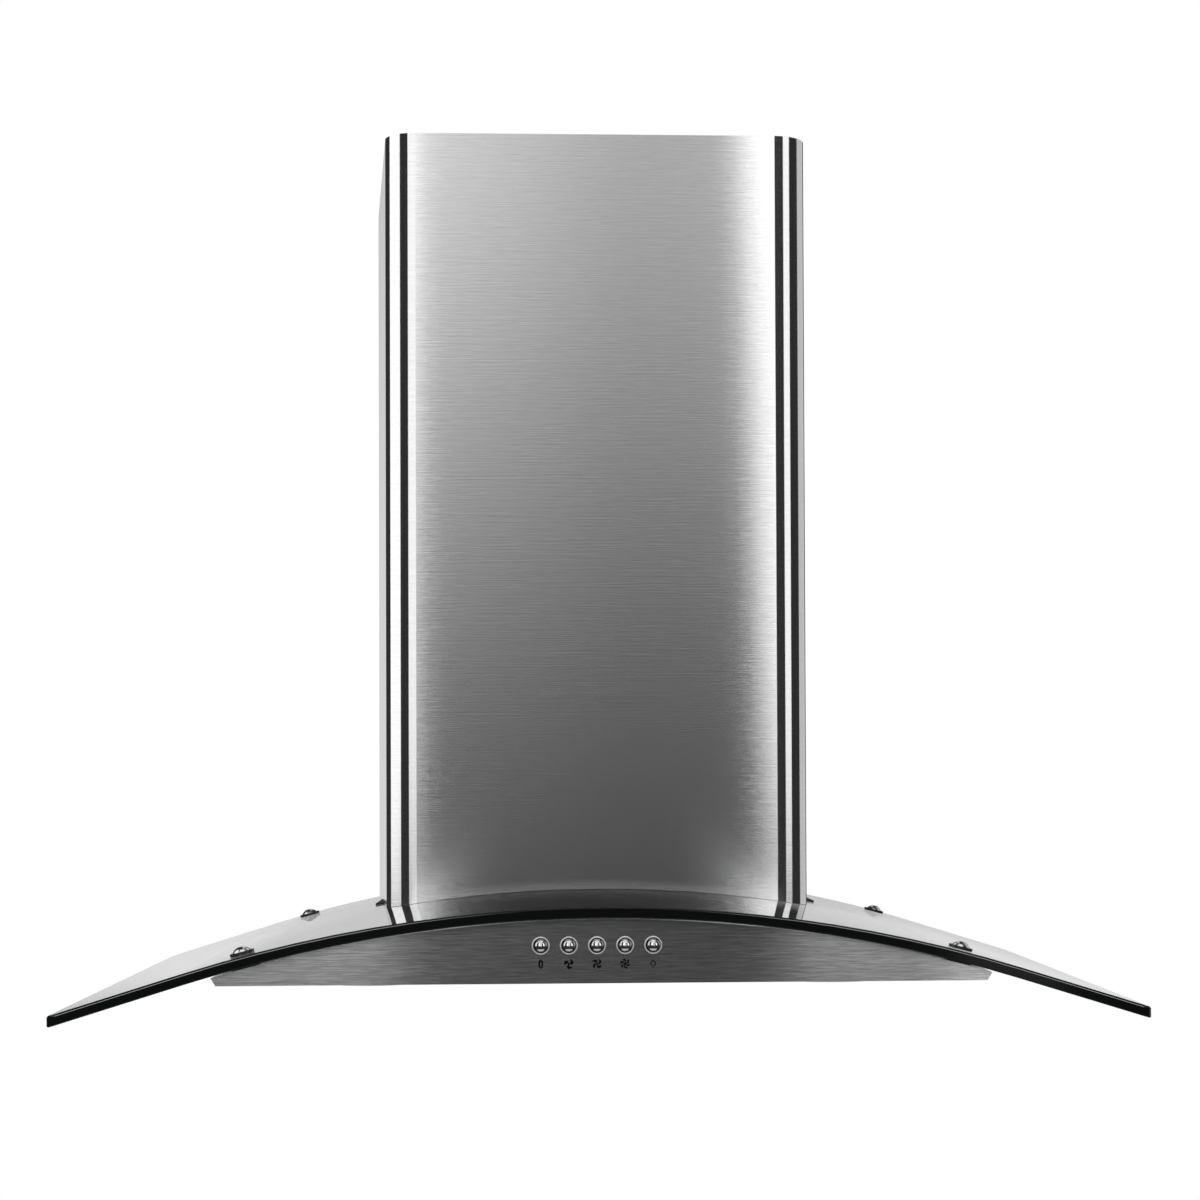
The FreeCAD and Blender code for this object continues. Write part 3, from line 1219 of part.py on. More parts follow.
def cable_gland():
    x, y = gland_place()
    top = terminal_span()[5]
    barrel = rod(GLAND_BARREL, V(x, y, top - GLAND_BELOW), V(x, y, top + GLAND_HEIGHT))
    rims = [e for e in barrel.Edges if len(e.Vertexes) == 1 and e.CenterOfMass.z > top]
    barrel = barrel.makeChamfer(GLAND_ARRIS, rims)
    collar = hexagon(GLAND_COLLAR, V(x, y, top), GLAND_COLLAR_HEIGHT, UP)
    return barrel.fuse(collar).cut(rod(GLAND_BORE, V(x, y, top - GLAND_BELOW), V(x, y, top + GLAND_HEIGHT)))


def capacitor_x():
    return -(BOX_HALF_WIDTH + CLIP_SHEET + CLIP_GAP + CAPACITOR_RADIUS)


def capacitor():
    low = CAPACITOR_Z - CAPACITOR_LENGTH / 2
    can = rod(CAPACITOR_RADIUS, V(capacitor_x(), CAPACITOR_Y, low),
              V(capacitor_x(), CAPACITOR_Y, low + CAPACITOR_LENGTH))
    rims = [e for e in can.Edges if len(e.Vertexes) == 1]
    can = can.makeChamfer(CAPACITOR_ARRIS, rims)
    for side in LEFT_AND_RIGHT:
        x = capacitor_x() + side * CAPACITOR_RADIUS / 2
        tab_top = low + CAPACITOR_LENGTH + TERMINAL_PIN_LENGTH
        can = can.fuse(box(x - TERMINAL_PIN_THICKNESS / 2, x + TERMINAL_PIN_THICKNESS / 2,
                           CAPACITOR_Y - TERMINAL_PIN_WIDTH / 2, CAPACITOR_Y + TERMINAL_PIN_WIDTH / 2,
                           low + CAPACITOR_LENGTH, tab_top))
    return can


def capacitor_clip():
    z0 = CAPACITOR_Z - CLIP_HEIGHT / 2
    z1 = CAPACITOR_Z + CLIP_HEIGHT / 2
    inner = CAPACITOR_RADIUS + CLIP_GAP
    low = V(capacitor_x(), CAPACITOR_Y, z0)
    high = V(capacitor_x(), CAPACITOR_Y, z1)
    ring = rod(inner + CLIP_SHEET, low, high)
    half = inner + CLIP_SHEET + CLIP_HEIGHT / 2
    wall = -BOX_HALF_WIDTH
    foot = box(wall - CLIP_SHEET, wall, CAPACITOR_Y - half, CAPACITOR_Y + half, z0, z1)
    clip = ring.fuse(foot).cut(rod(inner, low, high))
    return clip.common(box(-GLASS_WIDTH, wall, -BOX_DEPTH, 0, z0, z1))


def filter_span(side):
    """Left, right, front and rear of one grease filter."""
    near = FILTER_CENTRE_BAR / 2 + FILTER_GAP
    far = near + FILTER_WIDTH
    x0, x1 = (near, far) if side > 0 else (-far, -near)
    return x0, x1, FILTER_FRONT_Y, FILTER_REAR_Y


def hinge_axis():
    half = FILTER_THICKNESS / 2
    return FILTER_REAR_Y - half, BODY_BOTTOM_Z + half


def tongue_levels():
    low = BODY_BOTTOM_Z + PLATE_SHEET + SLIDE_GAP * 2
    return low, low + LATCH_TONGUE_THICKNESS


def underside_plate():
    half = body_half_width_at(BODY_BOTTOM_Z) - SHEET - SLIDE_GAP
    plate = box(-half, half, PANEL_BACK_Y, -SHEET, BODY_BOTTOM_Z, PLATE_TOP_Z)
    axis_y, axis_z = hinge_axis()
    slot_low, slot_high = tongue_levels()
    gap = FILTER_GAP
    rim = gap + PLATE_SHEET
    for side in LEFT_AND_RIGHT:
        x0, x1, y0, y1 = filter_span(side)
        plate = plate.fuse(box(x0 - rim, x1 + rim, y0 - rim, y1 + rim, PLATE_TOP_Z,
                               PLATE_TOP_Z + COLLAR_UPSTAND))
    for side in LEFT_AND_RIGHT:
        x0, x1, y0, y1 = filter_span(side)
        plate = plate.cut(box(x0 - gap, x1 + gap, y0 - gap, y1 + gap, BODY_BOTTOM_Z - OVERRUN, ARCH_TOP_Z))
        plate = plate.cut(rod(HINGE_STUB_RADIUS + RUNNING_GAP, V(x0 - rim - gap, axis_y, axis_z),
                              V(x1 + rim + gap, axis_y, axis_z)))
        middle = (x0 + x1) / 2
        reach = LATCH_TONGUE_WIDTH / 2 + SLIDE_GAP
        plate = plate.cut(box(middle - reach, middle + reach, y0 - rim - gap, y0,
                              slot_low - SLIDE_GAP, slot_high + SLIDE_GAP))
        plate = plate.cut(rod(lamp_body_radius() + SLIDE_GAP, lamp_place(side, BODY_BOTTOM_Z - OVERRUN),
                              lamp_place(side, PLATE_TOP_Z + OVERRUN)))
    for x, y in plate_screw_places():
        plate = plate.cut(plate_screw_hole(x, y))
        plate = plate.cut(countersink(PLATE_SCREW_HEAD, PLATE_SCREW_RADIUS, PLATE_SHEET,
                                      V(x, y, BODY_BOTTOM_Z), -UP))
    return plate


def plate_screw_places():
    rows = (PANEL_FRONT_Y + BODY_FLANGE / 2 + SHEET, -BODY_FLANGE / 2)
    return [(x, y) for y in rows for x in PLATE_SCREW_X]


def plate_screws():
    solids = []
    for x, y in plate_screw_places():
        solids.append(flush_screw(PLATE_SCREW_HEAD, PLATE_SHEET, PLATE_SCREW_RADIUS, PLATE_SCREW_LENGTH,
                                  V(x, y, BODY_BOTTOM_Z), -UP))
    return Part.makeCompound(solids)


def lamp_body_radius():
    return LAMP_RADIUS - LAMP_BEZEL_WIDTH / 2


def lamp_place(side, z):
    return V(side * LAMP_X, PANEL_FRONT_Y + LAMP_FROM_FRONT, z)


def lamp_bezel(side):
    low = lamp_place(side, BODY_BOTTOM_Z - LAMP_BEZEL_THICKNESS)
    high = lamp_place(side, BODY_BOTTOM_Z)
    ring = rod(LAMP_RADIUS + LAMP_BEZEL_WIDTH, low, high)
    rims = [e for e in ring.Edges if len(e.Vertexes) == 1 and e.CenterOfMass.z < low.z + SEAT_GAP]
    ring = ring.makeChamfer(LAMP_BEZEL_THICKNESS / 2, rims)
    return ring.cut(rod(lamp_body_radius() - LAMP_BEZEL_WIDTH, low - UP, high + UP))


def lamp_lens(side):
    low = lamp_place(side, BODY_BOTTOM_Z)
    high = lamp_place(side, BODY_BOTTOM_Z + LENS_THICKNESS)
    return rod(lamp_body_radius() - LAMP_BODY_WALL - SLIDE_GAP, low, high)


def lamp_ceiling():
    return PLATE_TOP_Z + LAMP_BODY_HEIGHT - LAMP_BODY_WALL


def lamp_body(side):
    low = lamp_place(side, BODY_BOTTOM_Z)
    high = lamp_place(side, PLATE_TOP_Z + LAMP_BODY_HEIGHT)
    cup = rod(lamp_body_radius(), low, high)
    lip = rod(LAMP_RADIUS + LAMP_BEZEL_WIDTH / 2, lamp_place(side, PLATE_TOP_Z),
              lamp_place(side, PLATE_TOP_Z + LAMP_BODY_WALL))
    return cup.fuse(lip).cut(rod(lamp_body_radius() - LAMP_BODY_WALL, low, lamp_place(side, lamp_ceiling())))


def lamp_socket(side):
    centre = lamp_place(side, lamp_ceiling())
    depth = SOCKET_RADIUS + SLIDE_GAP
    start = centre.x - BULB_LENGTH
    return box(start, start + SOCKET_RADIUS, centre.y - SOCKET_RADIUS, centre.y + SOCKET_RADIUS,
               centre.z - depth, centre.z)


def lamp_bulb(side):
    centre = lamp_place(side, lamp_ceiling())
    z = centre.z - SOCKET_RADIUS / 2
    start = V(centre.x - BULB_LENGTH + SOCKET_RADIUS, centre.y, z)
    end = start + V(BULB_LENGTH - BULB_RADIUS, 0, 0)
    glass = rod(BULB_RADIUS, start, end)
    return glass.fuse(Part.makeSphere(BULB_RADIUS, end))


def filter_frame(side):
    x0, x1, y0, y1 = filter_span(side)
    axis_y, axis_z = hinge_axis()
    low = BODY_BOTTOM_Z
    high = low + FILTER_THICKNESS
    frame = box(x0, x1, y0, axis_y, low, high)
    frame = frame.fuse(rod(FILTER_THICKNESS / 2, V(x0, axis_y, axis_z), V(x1, axis_y, axis_z)))
    frame = frame.cut(box(x0 + FILTER_RAIL, x1 - FILTER_RAIL, y0 + FILTER_HEAD_RAIL, y1 - FILTER_RAIL,
                          low - OVERRUN, high + OVERRUN))
    frame = frame.fuse(rod(HINGE_STUB_RADIUS, V(x0 - HINGE_STUB_LENGTH, axis_y, axis_z),
                           V(x1 + HINGE_STUB_LENGTH, axis_y, axis_z)).cut(
                       box(x0, x1, axis_y - OVERRUN, axis_y + OVERRUN, axis_z - OVERRUN, axis_z + OVERRUN)))
    return frame.cut(latch_pocket(side))


def latch_span(side):
    x0, x1, y0, y1 = filter_span(side)
    middle = (x0 + x1) / 2
    front = y0 + (FILTER_HEAD_RAIL - LATCH_LENGTH - LATCH_TRAVEL) / 2
    return middle, front, front + LATCH_LENGTH


def latch_pocket(side):
    middle, front, rear = latch_span(side)
    y0 = filter_span(side)[2]
    half = LATCH_WIDTH / 2 + SLIDE_GAP
    low = BODY_BOTTOM_Z - OVERRUN
    high = BODY_BOTTOM_Z + SLIDE_GAP * 2 + LATCH_THICKNESS
    pocket = box(middle - half, middle + half, front - SLIDE_GAP, rear + LATCH_TRAVEL + SLIDE_GAP, low, high)
    slot_low, slot_high = tongue_levels()
    reach = LATCH_TONGUE_WIDTH / 2 + SLIDE_GAP
    slot = box(middle - reach, middle + reach, y0 - OVERRUN, front, slot_low - SLIDE_GAP,
               slot_high + SLIDE_GAP)
    return pocket.fuse(slot)


def filter_latch(side):
    middle, front, rear = latch_span(side)
    y0 = filter_span(side)[2]
    half = LATCH_WIDTH / 2
    low = BODY_BOTTOM_Z + SLIDE_GAP
    slider = box(middle - half, middle + half, front, rear, low, low + LATCH_THICKNESS)
    slot_low, slot_high = tongue_levels()
    reach = LATCH_TONGUE_WIDTH / 2
    tongue = box(middle - reach, middle + reach, y0 - LATCH_REACH, front, slot_low, slot_high)
    grip_half = half - LATCH_GRIP
    grip = box(middle - grip_half, middle + grip_half, rear - 2 * LATCH_GRIP, rear - LATCH_GRIP,
               low - LATCH_GRIP, low)
    return slider.fuse(tongue).fuse(grip)


def diamond(x, y, z, half_x, half_y):
    points = [V(x - half_x, y, z), V(x, y - half_y, z), V(x + half_x, y, z), V(x, y + half_y, z)]
    return Part.makePolygon(points + [points[0]])


def filter_mesh(side):
    """Stamped aluminium mesh with two staggered sets of diamond openings."""
    x0, x1, y0, y1 = filter_span(side)
    left = x0 + FILTER_RAIL + SEAT_GAP
    right = x1 - FILTER_RAIL - SEAT_GAP
    front = y0 + FILTER_HEAD_RAIL + SEAT_GAP
    rear = y1 - FILTER_RAIL - SEAT_GAP
    low = BODY_BOTTOM_Z + (FILTER_THICKNESS - MESH_THICKNESS) / 2
    step_x = (right - left) / MESH_COLUMNS
    step_y = (rear - front) / MESH_ROWS
    half_x = (step_x - MESH_STRAND) / 2
    half_y = (step_y - MESH_STRAND) / 2
    holes = []
    for stagger in (0, 1):
        for column in range(MESH_COLUMNS - stagger):
            for row in range(MESH_ROWS - stagger):
                x = left + step_x * (column + (1 + stagger) / 2)
                y = front + step_y * (row + (1 + stagger) / 2)
                holes.append(diamond(x, y, low, half_x, half_y))
    corners = [V(left, front, low), V(right, front, low), V(right, rear, low), V(left, rear, low)]
    outline = Part.makePolygon(corners + [corners[0]])
    return Part.Face([outline] + holes).extrude(UP * MESH_THICKNESS)


BUTTON_NAMES = ("button_off", "button_speed_1", "button_speed_2", "button_speed_3", "button_lamp")
SIDE_NAMES = {-1: "left", 1: "right"}


def main():
    os.makedirs("parts", exist_ok=True)
    nodes = {
        "glass_canopy": glass_canopy(),
        "glass_screws": glass_screws(),
        "glass_washers": glass_washers(),
        "glass_bushes": glass_bushes(),
        "glass_nuts": glass_nuts(),
        "hood_shell": hood_shell(),
        "control_panel": control_panel(),
        "button_bezels": button_bezels(),
        "switch_block": switch_block(),
        "switch_bracket": switch_bracket(),
        "chimney_cover": chimney_cover(),
        "chimney_hanger": chimney_hanger(),
        "chimney_cover_screws": chimney_cover_screws(),
        "chimney_base_seal": chimney_base_seal(),
        "chimney_wedges": chimney_wedges(),
        "blower_box": blower_box(),
        "blower_top_plate": blower_top_plate(),
        "flange_screws": flange_screws(),
        "volute_scroll": volute_scroll(),
        "impeller": impeller(),
        "motor_shaft": motor_shaft(),
        "impeller_nut": impeller_nut(),
        "motor_housing": motor_housing(),
        "motor_bracket": motor_bracket(),
        "motor_grommets": motor_grommets(),
        "motor_screws": motor_screws(),
        "outlet_adapter": outlet_adapter(),
        "outlet_collar": outlet_collar(),
        "collar_screws": collar_screws(),
        "damper_pin": damper_pin(),
        "damper_flap_front": damper_flap(-1),
        "damper_flap_rear": damper_flap(1),
        "terminal_box": terminal_box(),
        "terminal_box_lid": terminal_box_lid(),
        "lid_screws": lid_screws(),
        "cable_gland": cable_gland(),
        "capacitor": capacitor(),
        "capacitor_clip": capacitor_clip(),
        "underside_plate": underside_plate(),
        "plate_screws": plate_screws(),
    }
    for name, x in zip(BUTTON_NAMES, button_places()):
        nodes[name] = push_button(x)
    for side, word in SIDE_NAMES.items():
        nodes["volute_side_" + word] = volute_side(side)
        nodes["filter_frame_" + word] = filter_frame(side)
        nodes["filter_mesh_" + word] = filter_mesh(side)
        nodes["filter_latch_" + word] = filter_latch(side)
        nodes["lamp_body_" + word] = lamp_body(side)
    nodes["lamp_bezels"] = Part.makeCompound([lamp_bezel(side) for side in LEFT_AND_RIGHT])
    nodes["lamp_lenses"] = Part.makeCompound([lamp_lens(side) for side in LEFT_AND_RIGHT])
    nodes["lamp_sockets"] = Part.makeCompound([lamp_socket(side) for side in LEFT_AND_RIGHT])
    nodes["lamp_bulbs"] = Part.makeCompound([lamp_bulb(side) for side in LEFT_AND_RIGHT])
    for name, shape in nodes.items():
        save(name, shape)


main()
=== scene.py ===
import json
import math

import bmesh
import bpy
from mathutils import Matrix, Vector


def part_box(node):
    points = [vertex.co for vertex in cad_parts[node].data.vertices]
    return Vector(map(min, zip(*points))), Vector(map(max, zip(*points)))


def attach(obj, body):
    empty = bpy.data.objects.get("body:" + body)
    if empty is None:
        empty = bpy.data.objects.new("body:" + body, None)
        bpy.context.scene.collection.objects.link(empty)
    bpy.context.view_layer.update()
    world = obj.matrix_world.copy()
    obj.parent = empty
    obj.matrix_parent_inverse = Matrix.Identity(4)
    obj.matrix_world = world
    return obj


# Wall mount range hood with a glass canopy. Metres, +Z up, the wall at Y = 0.

# Camera, as solved from the photograph
CAMERA_PLACE = Vector((-0.0266, -1.8824, -0.0375))
CAMERA_YAW = 0.0509
CAMERA_PITCH = 0.0182
CAMERA_ROLL = 0.0040
CAMERA_SENSOR = 36.0
CAMERA_LENS = 77.881
CAMERA_SHIFT = (-0.0726, 0.1047)

# Floor, out of the camera's view. Seen directly it is mostly its own pale colour.
FLOOR_Z = -1.2
FLOOR_RADIUS = 1.1
FLOOR_SIDES = 64
FLOOR_PALE_SHARE = 0.8

# Upright softboxes: name, place (x, y) they are seen from, first and last azimuth in degrees with 0
# straight in front, distance, lowest and highest z, brightness, lean in radians
LEFT_CORNER = (-0.125, -0.245)
RIGHT_CORNER = (0.125, -0.245)
CHIMNEY_FACE = (0.1, -0.25)
PANEL_END = (0.2, -0.47)
SOFTBOXES = (
    ("left_front", LEFT_CORNER, -30.9, -3.0, 2.4, -0.22, 2.0, 1.20, 0.0),
    ("left_side", LEFT_CORNER, -115.0, -62.7, 1.6, -0.22, 2.0, 1.30, 0.0),
    ("right_strip", CHIMNEY_FACE, 4.0, 12.2, 2.15, -0.17, 2.0, 1.34, -0.034),
    ("right_front", RIGHT_CORNER, 36.7, 61.1, 2.4, -0.22, 2.0, 1.20, 0.0),
    ("right_side", RIGHT_CORNER, 101.0, 150.0, 2.0, -0.45, 2.0, 0.60, 0.0),
    ("low_right", PANEL_END, 8.6, 12.5, 1.9, -0.65, -0.2, 1.20, 0.0),
)

# Level lamp overhead
ABOVE_PLACE = (-0.02, -1.2, 1.5)
ABOVE_SIZE = (2.0, 1.6)
ABOVE_BRIGHTNESS = 1.2

# The room as glossy surfaces see it. Spans of x / y say how far to the side a light reaches.
ROOM_LEVEL = 0.04
REAR_LEVEL = 0.8
REAR_SPAN = (0.16, 0.24)
FRONT_LEVEL = 0.85
FRONT_SPAN = (0.075, 0.085)
FRONT_SLANT = (0.91, 1.42)
FRONT_SLANT_SPAN = (-0.025, 0.04)
RISE_SPAN = (-0.1, 0.242)
RISE_POWER = 2.2
RISE_END_SPAN = (0.40, 0.55)
SOFT_LEVEL = 0.55

# Surface print and the painted highlight line lie this far in front of what carries them
SIGN_PRINT = 0.00006

# Printed signs under the push buttons, with shares of SIGN_SIZE
SIGN_DROP = 0.0101
SIGN_SIZE = 0.0025
SIGN_LINE = 0.0012
MERGE_DISTANCE = 0.000002
ZERO_STEPS = 24
ZERO_HALF_WIDTH = 0.55
LAMP_OUTLINE = ((0.0, -1.0), (0.62, -0.1), (0.62, 0.25), (0.25, 0.62))
LAMP_LINE_SHARE = 0.45
FAN_HUB = 0.26
FAN_REACH = 1.15
BLADE_STEPS = 6
BLADE_BEND = 0.95
BLADE_ROOT = 0.42
BLADE_SWELL = 0.20

# Grey line on the glass's front edge, a painted highlight along the arris, fading in between two
# distances from the crown
ARRIS_DEPTH = 0.0002
ARRIS_WIDTH = 0.00035
ARRIS_START = 0.05
ARRIS_FULL = 0.13

BUTTONS = ("button_off", "button_speed_1", "button_speed_2", "button_speed_3", "button_lamp")


def add_object(name, data):
    piece = bpy.data.objects.new(name, data)
    bpy.context.scene.collection.objects.link(piece)
    return piece


def set_inputs(node, values):
    for name, value in values.items():
        node.inputs[name].default_value = value


def new_material(name, **values):
    material = bpy.data.materials.new(name)
    material.use_nodes = True
    shader = material.node_tree.nodes["Principled BSDF"]
    set_inputs(shader, values)
    return material, material.node_tree, shader


def object_noise(tree, stretch, detail=3.0, roughness=0.55):
    """Noise in the object's own metres, with so many grains a metre along X, Y and Z."""
    place = tree.nodes.new("ShaderNodeTexCoord")
    mapping = tree.nodes.new("ShaderNodeMapping")
    mapping.inputs["Scale"].default_value = stretch
    noise = tree.nodes.new("ShaderNodeTexNoise")
    set_inputs(noise, {"Scale": 1.0, "Detail": detail, "Roughness": roughness})
    tree.links.new(place.outputs["Object"], mapping.inputs["Vector"])
    tree.links.new(mapping.outputs["Vector"], noise.inputs["Vector"])
    return noise.outputs["Fac"]


def ramp(tree, value, low, high, from_low=0.3, from_high=0.7):
    node = tree.nodes.new("ShaderNodeMapRange")
    set_inputs(node, {"From Min": from_low, "From Max": from_high, "To Min": low, "To Max": high})
    tree.links.new(value, node.inputs["Value"])
    return node.outputs["Result"]


def tint(tree, value, dark, light):
    node = tree.nodes.new("ShaderNodeMix")
    node.data_type = "RGBA"
    node.inputs["A"].default_value = (*dark, 1.0)
    node.inputs["B"].default_value = (*light, 1.0)
    tree.links.new(value, node.inputs["Factor"])
    return node.outputs["Result"]


def add_bump(tree, shader, value, strength, distance):
    bump = tree.nodes.new("ShaderNodeBump")
    set_inputs(bump, {"Strength": strength, "Distance": distance})
    tree.links.new(value, bump.inputs["Height"])
    tree.links.new(bump.outputs["Normal"], shader.inputs["Normal"])


def grey(level):
    return (level, level, level)


def split(tree, vector):
    parts = tree.nodes.new("ShaderNodeSeparateXYZ")
    tree.links.new(vector, parts.inputs["Vector"])
    return parts.outputs


def calculate(tree, operation, first, second):
    node = tree.nodes.new("ShaderNodeMath")
    node.operation = operation
    for socket, value in zip(node.inputs, (first, second)):
        if isinstance(value, float):
            socket.default_value = value
        else:
            tree.links.new(value, socket)
    return node.outputs["Value"]


def mix_shaders(tree, share, first, second):
    mix = tree.nodes.new("ShaderNodeMixShader")
    tree.links.new(share, mix.inputs["Fac"])
    tree.links.new(first, mix.inputs[1])
    tree.links.new(second, mix.inputs[2])
    return mix.outputs["Shader"]


def brushed_steel(name, level, roughness, streak, wear, groove):
    """Steel brushed level, so that its highlights spread up and down."""
    material, tree, shader = new_material(name, Metallic=1.0, Anisotropic=1.0, Roughness=roughness)
    shader.inputs["Anisotropic Rotation"].default_value = 0.25
    tangent = tree.nodes.new("ShaderNodeTangent")
    tangent.direction_type = "RADIAL"
    tangent.axis = "Z"
    tree.links.new(tangent.outputs["Tangent"], shader.inputs["Tangent"])
    grain = object_noise(tree, streak, 4.0, 0.65)
    worn = ramp(tree, grain, 0.0, 1.0)
    dark = grey(level * (1.0 - wear))
    light = grey(level * (1.0 + wear))
    tree.links.new(tint(tree, worn, dark, light), shader.inputs["Base Color"])
    add_bump(tree, shader, object_noise(tree, (30.0, 30.0, 1500.0), 2.0), 1.0, groove)
    return material


def polished_metal(name, level, roughness):
    material, tree, shader = new_material(name, Metallic=1.0)
    smear = object_noise(tree, (260.0, 260.0, 260.0))
    tree.links.new(tint(tree, smear, grey(level * 0.97), grey(level)), shader.inputs["Base Color"])
    tree.links.new(ramp(tree, smear, roughness * 0.7, roughness * 1.3), shader.inputs["Roughness"])
    return material


def satin_chrome_painted_shade(name):
    """Matt plating, which stays light all round; the bore and the other faces that don't face
    forward are painted near black, a painted shade.
    """
    material, tree, shader = new_material(name, Metallic=0.5, Roughness=0.35)
    smear = object_noise(tree, (400.0, 400.0, 400.0))
    plated = tint(tree, smear, grey(0.86), grey(0.90))
    surface = tree.nodes.new("ShaderNodeNewGeometry")
    normal = split(tree, surface.outputs["True Normal"])
    forward = ramp(tree, normal["Y"], 1.0, 0.0, -0.5, -0.3)
    # Painted shade: where the surface doesn't face forward, as in the bore, the base colour goes to
    # near black.
    plating_and_painted_shade = tree.nodes.new("ShaderNodeMix")
    plating_and_painted_shade.data_type = "RGBA"
    plating_and_painted_shade.inputs["A"].default_value = (0.015, 0.015, 0.015, 1.0)
    tree.links.new(forward, plating_and_painted_shade.inputs["Factor"])
    tree.links.new(plated, plating_and_painted_shade.inputs["B"])
    tree.links.new(plating_and_painted_shade.outputs["Result"], shader.inputs["Base Color"])
    return material


def zinc_sheet(name):
    """Galvanised sheet with its faint crystals."""
    material, tree, shader = new_material(name, Metallic=0.85)
    place = tree.nodes.new("ShaderNodeTexCoord")
    crystals = tree.nodes.new("ShaderNodeTexVoronoi")
    crystals.inputs["Scale"].default_value = 130.0
    tree.links.new(place.outputs["Object"], crystals.inputs["Vector"])
    shade = tree.nodes.new("ShaderNodeSeparateColor")
    tree.links.new(crystals.outputs["Color"], shade.inputs["Color"])
    value = shade.outputs["Red"]
    zinc = tint(tree, value, (0.42, 0.44, 0.45), (0.60, 0.62, 0.63))
    tree.links.new(zinc, shader.inputs["Base Color"])
    tree.links.new(ramp(tree, value, 0.32, 0.50, 0.0, 1.0), shader.inputs["Roughness"])
    return material


def rolled_aluminium(name, level, roughness):
    material, tree, shader = new_material(name, Metallic=1.0)
    grain = object_noise(tree, (700.0, 40.0, 700.0))
    rolled = tint(tree, grain, grey(level * 0.9), grey(level * 1.06))
    tree.links.new(rolled, shader.inputs["Base Color"])
    worn = ramp(tree, grain, roughness - 0.05, roughness + 0.06)
    tree.links.new(worn, shader.inputs["Roughness"])
    add_bump(tree, shader, grain, 0.1, 0.0002)
    return material


def cast_metal(name):
    material, tree, shader = new_material(name, Metallic=0.9)
    grain = object_noise(tree, (900.0, 900.0, 900.0), 5.0)
    tree.links.new(tint(tree, grain, grey(0.36), grey(0.50)), shader.inputs["Base Color"])
    tree.links.new(ramp(tree, grain, 0.38, 0.55), shader.inputs["Roughness"])
    add_bump(tree, shader, grain, 0.25, 0.0003)
    return material


def moulded_plastic(name, dark, light, roughness, grain_size=1400.0):
    material, tree, shader = new_material(name)
    grain = object_noise(tree, (grain_size, grain_size, grain_size), 4.0)
    tree.links.new(tint(tree, grain, dark, light), shader.inputs["Base Color"])
    worn = ramp(tree, grain, roughness - 0.06, roughness + 0.06)
    tree.links.new(worn, shader.inputs["Roughness"])
    add_bump(tree, shader, grain, 0.15, 0.0001)
    return material


def canopy_glass(name):
    """Clear glass with a black cut edge and, at a glancing angle, a pale grey painted sheen over
    it.
    """
    material, tree, shader = new_material(name, Roughness=0.0, IOR=1.52)
    shader.inputs["Transmission Weight"].default_value = 1.0
    dust = object_noise(tree, (30.0, 30.0, 30.0))
    clear = tint(tree, dust, (0.73, 0.765, 0.75), (0.77, 0.80, 0.785))
    tree.links.new(clear, shader.inputs["Base Color"])
    edge = tree.nodes.new("ShaderNodeBsdfPrincipled")
    set_inputs(edge, {"Base Color": (0.004, 0.005, 0.005, 1.0), "Roughness": 0.08, "IOR": 1.45,
                      "Specular IOR Level": 0.15})
    # Painted sheen: at a glancing angle the pane turns into a pale grey diffuse layer.
    painted_sheen_film = tree.nodes.new("ShaderNodeBsdfDiffuse")
    painted_sheen_film.inputs["Color"].default_value = (0.80, 0.80, 0.80, 1.0)
    glance = tree.nodes.new("ShaderNodeLayerWeight")
    glance.inputs["Blend"].default_value = 0.5
    painted_sheen_share = ramp(tree, glance.outputs["Facing"], 0.0, 0.95, 0.960, 0.982)
    pane = mix_shaders(tree, painted_sheen_share, shader.outputs["BSDF"], painted_sheen_film.outputs["BSDF"])
    surface = tree.nodes.new("ShaderNodeNewGeometry")
    upward = calculate(tree, "ABSOLUTE", split(tree, surface.outputs["Normal"])["Z"], 0.0)
    cut_face = calculate(tree, "LESS_THAN", upward, 0.86)
    glass = mix_shaders(tree, cut_face, pane, edge.outputs["BSDF"])
    tree.links.new(glass, tree.nodes["Material Output"].inputs["Surface"])
    return material


def printed_ink(name):
    material, tree, shader = new_material(name, Roughness=0.6)
    shader.inputs["Specular IOR Level"].default_value = 0.1
    spread = object_noise(tree, (3000.0, 3000.0, 3000.0))
    tree.links.new(tint(tree, spread, grey(0.001), grey(0.002)), shader.inputs["Base Color"])
    return material


def lamp_glass(name):
    material, tree, shader = new_material(name, IOR=1.46)
    shader.inputs["Transmission Weight"].default_value = 0.85
    frost = object_noise(tree, (1500.0, 1500.0, 1500.0))
    pale = tint(tree, frost, (0.86, 0.86, 0.84), (0.93, 0.93, 0.91))
    tree.links.new(pale, shader.inputs["Base Color"])
    tree.links.new(ramp(tree, frost, 0.30, 0.42), shader.inputs["Roughness"])
    add_bump(tree, shader, frost, 0.2, 0.0002)
    return material


